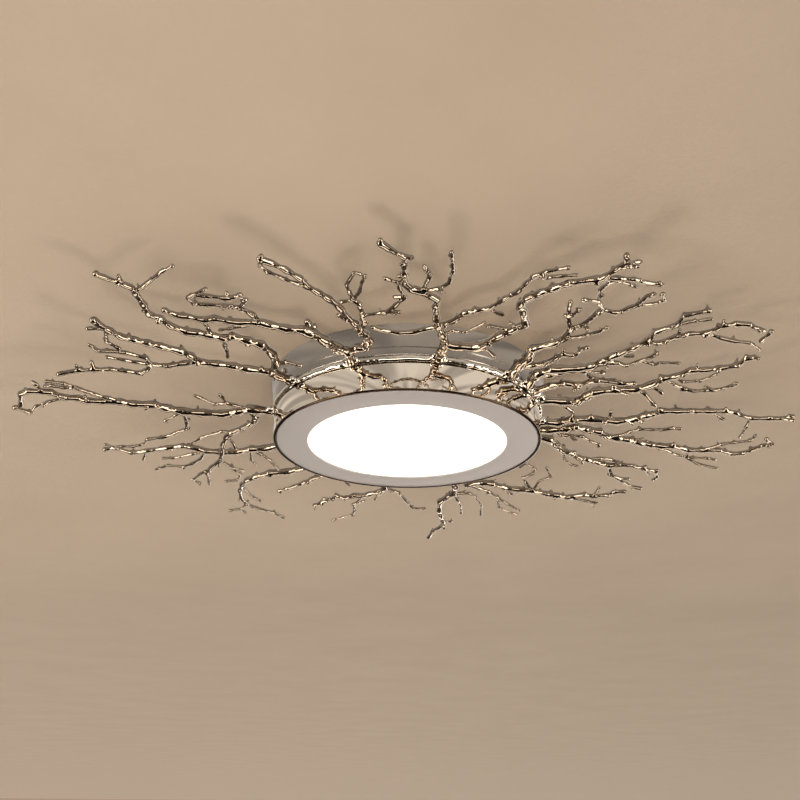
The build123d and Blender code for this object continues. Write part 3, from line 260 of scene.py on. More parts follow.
@dataclass(frozen=True)
class LipShadedFinish(Finish):
    """A buffed metal with a rolled lip at its foot, with painted shade on the lip for the shadow in the gap round the
    bezel.

    Attributes:
        lip: colour of the painted shade on the lip.
        lip_shade_top: level up to which the painted shade on the lip goes.
    """

    lip: str = "#4a3a2b"
    lip_shade_top: float = -80.0

    def enrich(self, tree: Tree, shader: Node, tint: Socket) -> None:
        """Paints shade over what lies below the lip's upper edge."""
        height = add(tree, "ShaderNodeSeparateXYZ", {0: own_place(tree)}).outputs["Z"]
        # Painted shade: below this level the lip takes a dark brown, for the shadow in the gap next to the bezel
        below = maths(tree, "LESS_THAN", height, self.lip_shade_top * MM)
        tree.links.new(blend(tree, below, tint, linear(self.lip)), shader.inputs["Base Color"])


@dataclass(frozen=True)
class LitFinish(Finish):
    """A sheet with light behind it.

    Attributes:
        edge: colour of the light close to the sheet's edge.
        reach: radius of the sheet.
        strength: strength of the light.
        edge_from: share of the radius at which the edge's colour sets in.
    """

    edge: str = "#fff0da"
    reach: float = 130.0
    strength: float = 1.05
    edge_from: float = 0.93

    def enrich(self, tree: Tree, shader: Node, tint: Socket) -> None:
        """Lights the sheet evenly, a little warmer at its edge."""
        out = vectors(tree, "LENGTH", vectors(tree, "MULTIPLY", own_place(tree), FLAT))
        near = ranged(tree, out, (self.reach * self.edge_from * MM, self.reach * MM))
        tree.links.new(blend(tree, near, linear("#ffffff"), linear(self.edge)), shader.inputs["Emission Color"])
        shader.inputs["Emission Strength"].default_value = self.strength


# Nickel plate over brass, buffed to a mirror: a warm white metal with faint buffing rings and painted shade on its
# lip
POLISHED_NICKEL = LipShadedFinish("polished_nickel_plate", "#ece3d8", "#e4dacd", 0.05, 0.02, 60.0, 0.5, 0.001,
                         metallic=1.0, pattern=Pattern.TURNED)
# The same plate over the spun canopy, left finer than a mirror: soft, blurred reflections
SPUN_NICKEL = Finish("spun_nickel_plate", "#a69f98", "#98918a", 0.24, 0.02, 70.0, 25.0, 0.002, metallic=1.0)
# Nickel plate on rough castings: bright on the high places, with painted shade in the hollows and on the upper side
CAST_NICKEL = ShadedCastFinish("cast_nickel_plate", "#a99b8b", "#857768", 0.14, 0.03, 9.0, 1.6, 0.01, metallic=1.0)
# The same plate where the ring was dressed and buffed after brazing: brighter, with small pits, and painted shade in
# the hollows and, less of it, on the upper side
BRAZED_NICKEL = ShadedCastFinish("brazed_nickel_plate", "#e2dacf", "#c9bfb2", 0.1, 0.04, 12.0, 1.2, 0.02, metallic=1.0,
                           painted_top_shade=0.25)
# Nickel plate brushed in a lathe and lightly lacquered: a soft sheen, its rings drawn three times too coarse
SATIN_NICKEL = Finish("satin_nickel_plate", "#bfb9b7", "#b9b3b0", 0.56, 0.03, 70.0, 0.45, 0.002,
                      metallic=1.0, coat=0.1, pattern=Pattern.TURNED)
# Opal acrylic sheet, lit from behind: even white, a little warmer where it meets the bezel
OPAL_ACRYLIC = LitFinish("opal_acrylic_sheet", "#f6f3ec", "#f2eee5", 0.35, 0.04, 40.0, 0.8, 0.002)
# Zinc plated steel: a bluish white metal with faint yellow clouds from the passivation bath
ZINC_STEEL = Finish("zinc_plated_steel", "#bfc3c6", "#b5ae94", 0.34, 0.09, 14.0, 0.8, 0.01, metallic=1.0)
# Green enamelled screw, as earth screws are
GREEN_ENAMEL = Finish("green_enamel", "#2f6b3a", "#285c31", 0.35, 0.05, 5.0, 0.8, 0.01)
# Rolled aluminium sheet as it comes from the mill: long faint lines
MILL_ALUMINIUM = Finish("mill_aluminium", "#c3c5c8", "#b3b6ba", 0.36, 0.08, 30.0, 0.5, 0.006,
                        metallic=1.0, pattern=Pattern.ROLLED)
# White solder mask over copper: smooth and slightly glossy
SOLDER_MASK = Finish("white_solder_mask", "#eeeeea", "#e4e4de", 0.3, 0.05, 12.0, 1.0, 0.004, coat=0.2)
# Silicone filled with yellow phosphor
PHOSPHOR = Finish("phosphor_silicone", "#e8c84e", "#dcb43c", 0.45, 0.05, 2.0, 0.4, 0.02)
# Matt white enamel, sprayed and baked: a slight orange peel
WHITE_ENAMEL = Finish("matt_white_enamel", "#efefea", "#e6e6df", 0.5, 0.06, 25.0, 1.5, 0.02)
# White polycarbonate, moulded with a fine spark texture
MOULDED_CASE = Finish("moulded_polycarbonate", "#e3e3df", "#d8d8d2", 0.48, 0.06, 18.0, 0.6, 0.02)
# Natural nylon, slightly yellow and waxy
NYLON = Finish("natural_nylon", "#e2ddcd", "#d6cfba", 0.42, 0.06, 10.0, 0.8, 0.02)
# Moulded black rubber, dull with a fine bloom
RUBBER = Finish("moulded_rubber", "#1c1c1d", "#2a2a2b", 0.72, 0.08, 6.0, 0.6, 0.03)
# Soft vinyl sleeve on the leads: smooth, with a waxy gloss
VINYL = Finish("vinyl_sleeve", "#e9e7e0", "#dedbd1", 0.32, 0.05, 8.0, 0.8, 0.01, coat=0.1)


@functools.cache
def made(finish: Finish) -> bpy.types.Material:
    """Returns the material of a finish, which is made when it is first asked for."""
    return finish.build()


def new_object(name: str, mesh: bpy.types.Mesh) -> bpy.types.Object:
    """Makes an object for a mesh at the origin and links it to the scene."""
    piece = bpy.data.objects.new(name, mesh)
    bpy.context.scene.collection.objects.link(piece)
    return piece


def mesh_of(shape: bmesh.types.BMesh, name: str) -> bpy.types.Mesh:
    """Turns a working shape into a mesh, and frees it."""
    mesh = bpy.data.meshes.new(name)
    shape.to_mesh(mesh)
    shape.free()
    return mesh


def node_copy(node: str) -> bpy.types.Mesh:
    """Copies a CAD node's mesh and merges its loose triangles.

    Args:
        node: the node's name.

    Returns:
        A closed mesh in the light's frame.
    """
    shape = bmesh.new()
    shape.from_mesh(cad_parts[node].data)
    bmesh.ops.remove_doubles(shape, verts=shape.verts, dist=0.001 * MM)
    return mesh_of(shape, f"{node}_copy")


def rounded(corners: list[tuple[float, float, float]], steps: int = 5) -> list[tuple[float, float]]:
    """Rounds the corners of a closed outline.

    Args:
        corners: radius, height and corner radius of each corner.
        steps: how many chords an arc gets.

    Returns:
        The outline's points as radius and height.
    """
    outline = []
    count = len(corners)
    for index, (radius, height, round_by) in enumerate(corners):
        here = Vector((radius, height))
        if round_by == 0.0:
            outline.append((radius, height))
            continue
        before = (Vector(corners[index - 1][:2]) - here).normalized()
        after = (Vector(corners[(index + 1) % count][:2]) - here).normalized()
        half = before.angle(after) / 2
        middle = here + (before + after).normalized() * (round_by / math.sin(half))
        start = here + before * (round_by / math.tan(half)) - middle
        end = here + after * (round_by / math.tan(half)) - middle
        first = math.atan2(start.y, start.x)
        sweep = (math.atan2(end.y, end.x) - first + math.pi) % (2 * math.pi) - math.pi
        for step in range(steps + 1):
            turn = first + sweep * step / steps
            outline.append((middle.x + round_by * math.cos(turn), middle.y + round_by * math.sin(turn)))
    return outline


def turned(name: str, outline: list[tuple[float, float]], segments: int = 288) -> bpy.types.Mesh:
    """Turns a closed outline round the lamp's axis.

    Args:
        name: the mesh's name.
        outline: radius and height of each point.
        segments: how many faces go round.

    Returns:
        A closed mesh with smooth faces and sharp corners.
    """
    shape = bmesh.new()
    rings = []
    for segment in range(segments):
        turn = 2 * math.pi * segment / segments
        spokes = [(r * math.cos(turn) * MM, r * math.sin(turn) * MM, z * MM) for r, z in outline]
        rings.append([shape.verts.new(point) for point in spokes])
    for first, second in zip(rings, rings[1:] + rings[:1]):
        for low in range(len(outline)):
            high = (low + 1) % len(outline)
            shape.faces.new((first[low], second[low], second[high], first[high]))
    bmesh.ops.recalc_face_normals(shape, faces=shape.faces)
    mesh = mesh_of(shape, name)
    mesh.shade_smooth()
    mesh.set_sharp_from_angle(angle=SHARP_ANGLE)
    return mesh


class ShapeTree:
    """A Geometry Nodes tree with named inputs, which is run once on an object and taken off again."""

    kinds = {float: "Float", int: "Int", tuple: "Vector", type(None): "Material"}

    def __init__(self, name: str, inputs: dict[str, object]) -> None:
        """Makes the tree with its geometry input and the named ones.

        Args:
            name: the tree's name.
            inputs: default value of each named input, or None for a material.
        """
        self.tree = bpy.data.node_groups.new(name, "GeometryNodeTree")
        self.sockets = {}
        self.tree.interface.new_socket("Geometry", in_out="INPUT", socket_type="NodeSocketGeometry")
        for label, value in inputs.items():
            kind = f"NodeSocket{self.kinds[type(value)]}"
            socket = self.tree.interface.new_socket(label, in_out="INPUT", socket_type=kind)
            if value is not None:
                socket.default_value = value
            self.sockets[label] = socket
        self.tree.interface.new_socket("Geometry", in_out="OUTPUT", socket_type="NodeSocketGeometry")
        self.entry = add(self.tree, "NodeGroupInput")

    def given(self, label: str) -> Socket:
        """Returns the value of a named input, for use inside the tree."""
        return self.entry.outputs[label]

    def stem_radius(self, normal: Socket) -> Socket:
        """Returns half the thickness of the shape below each point of its surface."""
        start_depth, longest = 0.05 * MM, 14 * MM
        inwards = vectors(self.tree, "SCALE", normal, -1.0)
        where = add(self.tree, "GeometryNodeInputPosition").outputs[0]
        across = add(self.tree, "GeometryNodeRaycast", {
            "Target Geometry": self.given("Geometry"),
            "Source Position": vectors(self.tree, "ADD", where, vectors(self.tree, "SCALE", inwards, start_depth)),
            "Ray Direction": inwards,
            "Ray Length": longest,
        })
        return maths(self.tree, "MULTIPLY", across.outputs["Hit Distance"], 0.5)

    def close(self, *shapes: Socket) -> None:
        """Ends the tree: its shapes are joined, instances become mesh, and the mesh gets its material."""
        both = add(self.tree, "GeometryNodeJoinGeometry")
        for shape in shapes:
            self.tree.links.new(shape, both.inputs[0])
        real = add(self.tree, "GeometryNodeRealizeInstances", {"Geometry": both.outputs[0]})
        values = {"Geometry": real.outputs[0], "Material": self.given("Material")}
        dressed = add(self.tree, "GeometryNodeSetMaterial", values)
        add(self.tree, "NodeGroupOutput", {0: dressed.outputs[0]})

    def fit(self, piece: bpy.types.Object, values: dict[str, object]) -> None:
        """Puts the tree on an object with these inputs."""
        modifier = piece.modifiers.new(self.tree.name, "NODES")
        modifier.node_group = self.tree
        for label, value in values.items():
            modifier[self.sockets[label].identifier] = value


def settle(piece: bpy.types.Object) -> bpy.types.Object:
    """Turns an object's modifiers into a plain mesh.

    Args:
        piece: an object with modifiers.

    Returns:
        The same object with the finished mesh and no modifier.
    """
    graph = bpy.context.evaluated_depsgraph_get()
    mesh = bpy.data.meshes.new_from_object(piece.evaluated_get(graph), depsgraph=graph)
    piece.modifiers.clear()
    piece.data = mesh
    return piece


def seat(piece: bpy.types.Object, body: str, slot: str, *nodes: str) -> None:
    """Hangs a finished piece on an empty for the body that it rides on and hides the nodes that it stands for. Its
    slot is not used.
    """
    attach(piece, body)
    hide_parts(*nodes)
    log.info("piece %s rides on %s and stands for %s", piece.name, body, ", ".join(nodes))


def bud_tree() -> ShapeTree:
    """Grows buds and short spurs on a stem: each is a pointed knob, sized from the stem's thickness there."""
    buds = ShapeTree("twig_buds", {
        "Spacing": 19 * MM, "Seed": 1, "Lean": 0.7, "Thickest stem": 2.9 * MM, "Material": None,
    })
    tree = buds.tree
    densest, spurs_above, least_spur, knob_lift = 60000.0, 0.8, 1.6 * MM, 0.42
    scatter = add(tree, "GeometryNodeDistributePointsOnFaces", {
        "Mesh": buds.given("Geometry"),
        "Distance Min": buds.given("Spacing"),
        "Density Max": densest,
        "Seed": buds.given("Seed"),
    }, distribute_method="POISSON")
    normal = scatter.outputs["Normal"]
    where = add(tree, "GeometryNodeInputPosition").outputs[0]
    kept = add(tree, "GeometryNodeCaptureAttribute", {"Geometry": scatter.outputs["Points"]}, domain="POINT")
    kept.capture_items.new("FLOAT", "Radius")
    kept.capture_items.new("VECTOR", "Normal")
    tree.links.new(buds.stem_radius(normal), kept.inputs["Radius"])
    tree.links.new(normal, kept.inputs["Normal"])
    radius = maths(tree, "MINIMUM", kept.outputs["Radius"], buds.given("Thickest stem"))

    def chance(low: float, high: float, offset: int) -> Socket:
        """Returns a random number for each bud, in a series of its own."""
        seed = add(tree, "FunctionNodeIntegerMath", {0: buds.given("Seed"), 1: offset}, operation="ADD")
        values = {2: low, 3: high, "Seed": seed.outputs[0]}
        return add(tree, "FunctionNodeRandomValue", values, data_type="FLOAT").outputs[1]

    outwards = vectors(tree, "NORMALIZE", vectors(tree, "MULTIPLY", where, FLAT))
    lean = vectors(tree, "SCALE", outwards, maths(tree, "MULTIPLY", buds.given("Lean"), chance(-0.3, 1.0, 17)))
    leaning = vectors(tree, "ADD", kept.outputs["Normal"], lean)
    aim = add(tree, "FunctionNodeAlignRotationToVector", {"Vector": leaning}, axis="Z")
    spur = maths(tree, "GREATER_THAN", chance(0.0, 1.0, 5), spurs_above)
    low_width = maths(tree, "MULTIPLY", radius, chance(0.7, 0.95, 29))
    spur_width = maths(tree, "MULTIPLY", maths(tree, "MAXIMUM", radius, least_spur), chance(0.5, 0.7, 31))
    width = add(tree, "ShaderNodeMix", {"Factor": spur, 2: low_width, 3: spur_width}).outputs[0]
    tall = add(tree, "ShaderNodeMix", {"Factor": spur, 2: chance(0.6, 1.0, 37), 3: chance(1.6, 3.0, 41)}).outputs[0]
    size = add(tree, "ShaderNodeCombineXYZ", {"X": width, "Y": width, "Z": maths(tree, "MULTIPLY", width, tall)})
    knob = add(tree, "GeometryNodeMeshIcoSphere", {"Radius": 1.0, "Subdivisions": 2})
    lifted = add(tree, "GeometryNodeTransform", {"Geometry": knob.outputs[0], "Translation": (0.0, 0.0, knob_lift)})
    grown = add(tree, "GeometryNodeInstanceOnPoints", {
        "Points": kept.outputs["Geometry"],
        "Instance": lifted.outputs[0],
        "Rotation": aim.outputs[0],
        "Scale": size.outputs[0],
    })
    buds.close(buds.given("Geometry"), grown.outputs[0])
    return buds


def skin_tree() -> ShapeTree:
    """Gives a remeshed casting its skin: softened joints, lumps left by the wax and the depth of its hollows, for
    painted shade.
    """
    skin = ShapeTree("cast_skin", {
        "Softening": 7, "Lump height": 0.55 * MM, "Lump width": 13 * MM,
        "Facet height": 0.12 * MM, "Facet width": 6 * MM, "Growth": 0.2 * MM, "Swelling": 0.3,
        "Low corner": tuple(CAD_LOW), "High corner": tuple(CAD_HIGH), "Material": None,
    })
    tree = skin.tree
    stem_rounds, hollow_rounds, full_hollow = 8, 6, 0.25 * MM

    def smoothed(rounds: object) -> Socket:
        """Returns each point's place after this many rounds of softening."""
        where = add(tree, "GeometryNodeInputPosition").outputs[0]
        return add(tree, "GeometryNodeBlurAttribute", {"Value": where, "Iterations": rounds},
                   data_type="FLOAT_VECTOR").outputs[0]

    def noise(width: Socket, height: Socket) -> Socket:
        """Returns a height that wanders up and down over a given width."""
        lumps = add(tree, "ShaderNodeTexNoise", {"Scale": maths(tree, "DIVIDE", 1.0, width), "Detail": 1.0})
        return maths(tree, "MULTIPLY", maths(tree, "SUBTRACT", lumps.outputs["Fac"], 0.5),
                     maths(tree, "MULTIPLY", height, 2.0))

    softened = smoothed(skin.given("Softening"))
    soft = add(tree, "GeometryNodeSetPosition", {"Geometry": skin.given("Geometry"), "Position": softened})
    per_facet = maths(tree, "DIVIDE", 1.0, skin.given("Facet width"))
    cells = add(tree, "ShaderNodeTexVoronoi", {"Scale": per_facet, "Smoothness": 0.35}, feature="SMOOTH_F1")
    facets = maths(tree, "MULTIPLY", maths(tree, "SUBTRACT", 0.45, cells.outputs["Distance"]),
                   skin.given("Facet height"))
    normal = add(tree, "GeometryNodeInputNormal").outputs[0]
    thickness = add(tree, "GeometryNodeBlurAttribute", {"Value": skin.stem_radius(normal), "Iterations": stem_rounds})
    growth = maths(tree, "MULTIPLY_ADD", thickness.outputs[0], skin.given("Swelling"), skin.given("Growth"))
    rise = maths(tree, "ADD", noise(skin.given("Lump width"), skin.given("Lump height")),
                 maths(tree, "ADD", facets, growth))
    offset = vectors(tree, "SCALE", normal, rise)
    lumpy = add(tree, "GeometryNodeSetPosition", {"Geometry": soft.outputs[0], "Offset": offset})
    where = add(tree, "GeometryNodeInputPosition").outputs[0]
    inside = vectors(tree, "MAXIMUM", vectors(tree, "MINIMUM", where, skin.given("High corner")),
                     skin.given("Low corner"))
    kept = add(tree, "GeometryNodeSetPosition", {"Geometry": lumpy.outputs[0], "Position": inside})
    # How deep each point lies in a hollow, stored as the hollow attribute to place the painted shade of the cast
    # finishes
    sunk = vectors(tree, "DOT_PRODUCT", vectors(tree, "SUBTRACT", smoothed(hollow_rounds), where),
                   add(tree, "GeometryNodeInputNormal").outputs[0])
    marked = add(tree, "GeometryNodeStoreNamedAttribute", {
        "Geometry": kept.outputs[0],
        "Name": "hollow",
        "Value": maths(tree, "DIVIDE", sunk, full_hollow),
    }, data_type="FLOAT", domain="POINT")
    smooth = add(tree, "GeometryNodeSetShadeSmooth", {"Geometry": marked.outputs[0]})
    skin.close(smooth.outputs[0])
    return skin


def ring_tree() -> ShapeTree:
    """Makes the ring with a brazed collar at the root of each twig. The points it gets are the roots."""
    ring = ShapeTree("brazed_ring", {
        "Middle radius": 172 * MM, "Width": 12 * MM, "Height": 7.6 * MM, "Level": -41.8 * MM, "Nose": 3.4 * MM,
        "Collar": (7 * MM, 11 * MM, 5 * MM), "Seed": 3, "Material": None,
    })
    tree = ring.tree
    sides = {"Width": ring.given("Width"), "Height": ring.given("Height")}
    section = add(tree, "GeometryNodeCurvePrimitiveQuadrilateral", sides)
    nose = {"Curve": section.outputs[0], "Radius": ring.given("Nose"), "Count": 4}
    nosed = add(tree, "GeometryNodeFilletCurve", nose, mode="POLY")
    loop = add(tree, "GeometryNodeCurvePrimitiveCircle", {"Resolution": 360, "Radius": ring.given("Middle radius")})
    band = add(tree, "GeometryNodeCurveToMesh", {"Curve": loop.outputs["Curve"], "Profile Curve": nosed.outputs[0]})
    height = add(tree, "ShaderNodeCombineXYZ", {"Z": ring.given("Level")})
    raised = add(tree, "GeometryNodeTransform", {"Geometry": band.outputs[0], "Translation": height.outputs[0]})
    where = add(tree, "GeometryNodeInputPosition").outputs[0]
    outwards = vectors(tree, "MULTIPLY", where, FLAT)
    aim = add(tree, "FunctionNodeAlignRotationToVector", {"Vector": outwards}, axis="X")
    sizes = {0: (0.85, 0.75, 0.9), 1: (1.15, 1.35, 1.05), "Seed": ring.given("Seed")}
    wander = add(tree, "FunctionNodeRandomValue", sizes, data_type="FLOAT_VECTOR")
    knob = add(tree, "GeometryNodeMeshIcoSphere", {"Radius": 1.0, "Subdivisions": 3})
    collars = add(tree, "GeometryNodeInstanceOnPoints", {
        "Points": ring.given("Geometry"),
        "Instance": knob.outputs[0],
        "Rotation": aim.outputs[0],
        "Scale": vectors(tree, "MULTIPLY", ring.given("Collar"), wander.outputs[0]),
    })
    ring.close(raised.outputs[0], collars.outputs[0])
    return ring


@dataclass
class Crown:
    """The ring and the seventeen twig castings that are brazed into it.

    Attributes:
        voxel: size of the grid that melts a piece's parts together.
        spigot_reach: radius inside which a casting is only its spigot.
        collar_radius: distance of the collars from the axis.
        ring_inner: inner radius of the ring.
        roots: direction and height of each casting's root, noted as they are made.
    """

    voxel: float = 0.9
    spigot_reach: float = 177.0
    collar_radius: float = 181.5
    ring_inner: float = 166.0
    roots: list[tuple[float, float]] = field(default_factory=list)

    def melt(self, piece: bpy.types.Object) -> None:
        """Adds the step that melts everything in a piece into one skin."""
        remesh = piece.modifiers.new("melt", "REMESH")
        remesh.mode = "VOXEL"
        remesh.voxel_size = self.voxel * MM
        remesh.use_smooth_shade = True

    def find_root(self, mesh: bpy.types.Mesh) -> None:
        """Notes the direction and height at which a casting enters the ring."""
        spigot = [v.co for v in mesh.vertices if v.co.xy.length < self.spigot_reach * MM]
        middle = sum(spigot, Vector()) / len(spigot)
        self.roots.append((math.atan2(middle.y, middle.x), middle.z))

    def cast(self, node: str, seed: int, buds: ShapeTree, skin: ShapeTree) -> None:
        """Makes one casting from its CAD node.

        Args:
            node: the node's name.
            seed: the seed of its buds.
            buds: the tree that grows buds.
            skin: the tree that gives the skin.
        """
        mesh = node_copy(node)
        self.find_root(mesh)
        piece = new_object(f"{node}_casting", mesh)
        nickel = made(CAST_NICKEL)
        buds.fit(piece, {"Seed": seed, "Material": nickel})
        self.melt(piece)
        skin.fit(piece, {"Material": nickel})
        settle(piece)
        seat(piece, "root", "cast_nickel", node)

    def braze_ring(self, skin: ShapeTree) -> None:
        """Makes the ring, with a collar at each root."""
        low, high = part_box("twig_ring")
        points = bpy.data.meshes.new("twig_roots")
        reach, inner = self.collar_radius * MM, self.ring_inner * MM
        points.from_pydata([(reach * math.cos(a), reach * math.sin(a), z) for a, z in self.roots], [], [])
        piece = new_object("brazed_ring", points)
        nickel = made(BRAZED_NICKEL)
        ring_tree().fit(piece, {
            "Middle radius": (high.x + inner) / 2, "Width": high.x - inner, "Height": high.z - low.z,
            "Level": (high.z + low.z) / 2, "Material": nickel,
        })
        self.melt(piece)
        skin.fit(piece, {
            "Softening": 3, "Lump height": 0.7 * MM, "Lump width": 15 * MM, "Facet height": 1.1 * MM,
            "Facet width": 10 * MM, "Growth": 0.45 * MM, "Swelling": 0.0, "Material": nickel,
        })
        settle(piece)
        seat(piece, "root", "polished_nickel", "twig_ring")

    def build(self) -> None:
        """Makes every casting and then the ring."""
        buds, skin = bud_tree(), skin_tree()
        names = sorted(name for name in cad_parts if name.startswith("twigs_"))
        for seed, node in enumerate(names, start=1):
            self.cast(node, seed, buds, skin)
        self.braze_ring(skin)


@dataclass
class Drum:
    """The canopy against the ceiling and the deep band below the ring.

    Attributes:
        canopy_wall: wall of the spun canopy.
        canopy_opening: radius of the opening in the canopy's floor.
        waist: radius of the canopy above its step.
        waist_drop: depth of the step under the ceiling.
        step: how far the wall steps in there.
        foot: radius of the canopy at its foot.
        band_wall: wall of the band.
        band_opening: radius of the opening in the band's flange.
        lip: how far the rolled lip stands in.
        lip_height: height of the lip.
    """

    canopy_wall: float = 1.2
    canopy_opening: float = 150.0
    waist: float = 178.0
    waist_drop: float = 27.5
    step: float = 0.5
    foot: float = 176.2
    band_wall: float = 1.5
    band_opening: float = 148.0
    lip: float = 2.1
    lip_height: float = 2.5

    def canopy(self) -> None:
        """Spins the canopy: a slightly tapered wall, a step near its foot and an open floor."""
        low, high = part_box("canopy")
        rim, floor, wall = high.x / MM, low.z / MM, self.canopy_wall
        inner_waist = self.waist - wall
        outline = rounded([
            (rim, 0.0, 0.25),
            (self.waist, -self.waist_drop, 0.4),
            (self.waist - self.step, -self.waist_drop - 3 * self.step, 0.4),
            (self.foot, floor, 1.8),
            (self.canopy_opening, floor, 0.3),
            (self.canopy_opening, floor + wall, 0.3),
            (self.foot - wall, floor + wall, 0.9),
            (inner_waist, -self.waist_drop, 0.0),
            (rim - wall, 0.0, 0.25),
        ])
        piece = new_object("spun_canopy", turned("spun_canopy", outline))
        piece.data.materials.append(made(SPUN_NICKEL))
        seat(piece, "root", "polished_nickel", "canopy")

    def band(self) -> None:
        """Makes the band: a flange under the spacers, a deep mirror wall and a rolled lip."""
        low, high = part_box("drum_band")
        outer, top, bottom, wall = high.x / MM, high.z / MM, low.z / MM, self.band_wall
        inner = outer - wall
        outline = rounded([
            (self.band_opening, top, 0.3),
            (outer, top, 1.2),
            (outer, bottom, 1.9),
            (inner - self.lip, bottom, 0.4),
            (inner - self.lip, bottom + self.lip_height, 0.4),
            (inner, bottom + self.lip_height + self.lip, 0.5),
            (inner, top - wall, 0.5),
            (self.band_opening, top - wall, 0.3),
        ])
        piece = new_object("mirror_band", turned("mirror_band", outline, 360))
        piece.data.materials.append(made(POLISHED_NICKEL))
        seat(piece, "root", "polished_nickel", "drum_band")

    def build(self) -> None:
        """Makes the canopy and the band."""
        self.canopy()
        self.band()


@dataclass
class Trim:
    """The bezel that twists off with the diffuser.

    Attributes:
        window: radius of the light window.
        face: thickness of the bezel's face.
        skirt_wall: wall of its skirt.
        lug_count: how many bayonet lugs it has.
        lug_first: direction of the first lug.
        lug_size: length, width and thickness of a lug.
        lug_drop: distance of a lug's top below the skirt's.
        boss_count: how many screw bosses it has.
        boss_circle: radius of the circle that they stand on.
        boss_radius: radius of a boss.
        boss_height: height of a boss.
        boss_faces: how many faces go round a boss.
    """

    window: float = 130.5
    face: float = 1.8
    skirt_wall: float = 1.5
    lug_count: int = 3
    lug_first: float = 90.0
    lug_size: tuple[float, float, float] = (13.75, 12.0, 2.0)
    lug_drop: float = 2.3
    boss_count: int = 6
    boss_circle: float = 142.0
    boss_radius: float = 3.4
    boss_height: float = 3.0
    boss_faces: int = 24

    def build(self) -> None:
        """Makes the bezel with its lugs and bosses."""
        low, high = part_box("bezel")
        outer, top, bottom, wall = high.x / MM, high.z / MM, low.z / MM, self.skirt_wall
        inside = bottom + self.face
        outline = rounded([
            (self.window, bottom, 0.7),
            (outer, bottom, 0.8),
            (outer, top, 0.3),
            (outer - wall, top, 0.3),
            (outer - wall, inside, 0.4),
            (self.window, inside, 0.3),
        ])
        mesh = turned("satin_bezel", outline, 360)
        shape = bmesh.new()
        shape.from_mesh(mesh)
        length, width, thickness = self.lug_size
        lug_middle = outer - wall - length / 2 + wall / 2
        for index in range(self.lug_count):
            turn = Matrix.Rotation(math.radians(self.lug_first + 360 * index / self.lug_count), 4, "Z")
            where = Matrix.Translation(Vector((lug_middle, 0.0, top - self.lug_drop - thickness / 2)) * MM)
            size = Matrix.Diagonal((length * MM, width * MM, thickness * MM, 1.0))
            bmesh.ops.create_cube(shape, size=1.0, matrix=turn @ where @ size)
        where = Matrix.Translation(Vector((self.boss_circle, 0.0, inside + self.boss_height / 2)) * MM)
        for index in range(self.boss_count):
            turn = Matrix.Rotation(2 * math.pi * index / self.boss_count, 4, "Z")
            bmesh.ops.create_cone(shape, cap_ends=True, segments=self.boss_faces, depth=self.boss_height * MM,
                                  radius1=self.boss_radius * MM, radius2=self.boss_radius * MM,
                                  matrix=turn @ where)
        shape.to_mesh(mesh)
        shape.free()
        piece = new_object("satin_bezel", mesh)
        piece.data.materials.append(made(SATIN_NICKEL))
        seat(piece, "trim", "satin_nickel", "bezel")


class Works:
    """Every CAD node whose shape is right as it is, with the finish that it gets."""

    def build(self) -> None:
        """Gives each node its finish."""
        finishes = {
            POLISHED_NICKEL: ("side_screws",),
            OPAL_ACRYLIC: ("diffuser",),
            ZINC_STEEL: ("mounting_plate", "ring_screws", "stack_screws", "stack_nuts", "stack_spacers",
                         "board_screws", "reflector_screws", "driver_screws", "block_screws", "terminal_screws",
                         "bracket_screws", "bayonet_brackets", "retaining_screws"),
            GREEN_ENAMEL: ("ground_screw",),
            MILL_ALUMINIUM: ("housing_plate",),
            SOLDER_MASK: ("led_board",),
            PHOSPHOR: ("led_chips",),
            WHITE_ENAMEL: ("reflector", "retaining_ring"),
            MOULDED_CASE: ("led_driver",),
            NYLON: ("terminal_block",),
            RUBBER: ("led_grommet",),
            VINYL: ("led_leads", "supply_leads"),
        }
        for finish, nodes in finishes.items():
            for node in nodes:
                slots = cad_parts[node].data.materials
                slots.clear()
                slots.append(made(finish))
                log.info("node %s is %s", node, finish.name)


@dataclass(frozen=True)
class Softbox:
    """A bright panel far off in the studio, which only shows as a reflection.

    Attributes:
        azimuth: its direction, in degrees from +X towards +Y.
        elevation: its height over the horizon.
        width: half its width, as a tangent.
        height: half its height, as a tangent.
        strength: how bright it is.
    """

    azimuth: float
    elevation: float
    width: float
    height: float
    strength: float


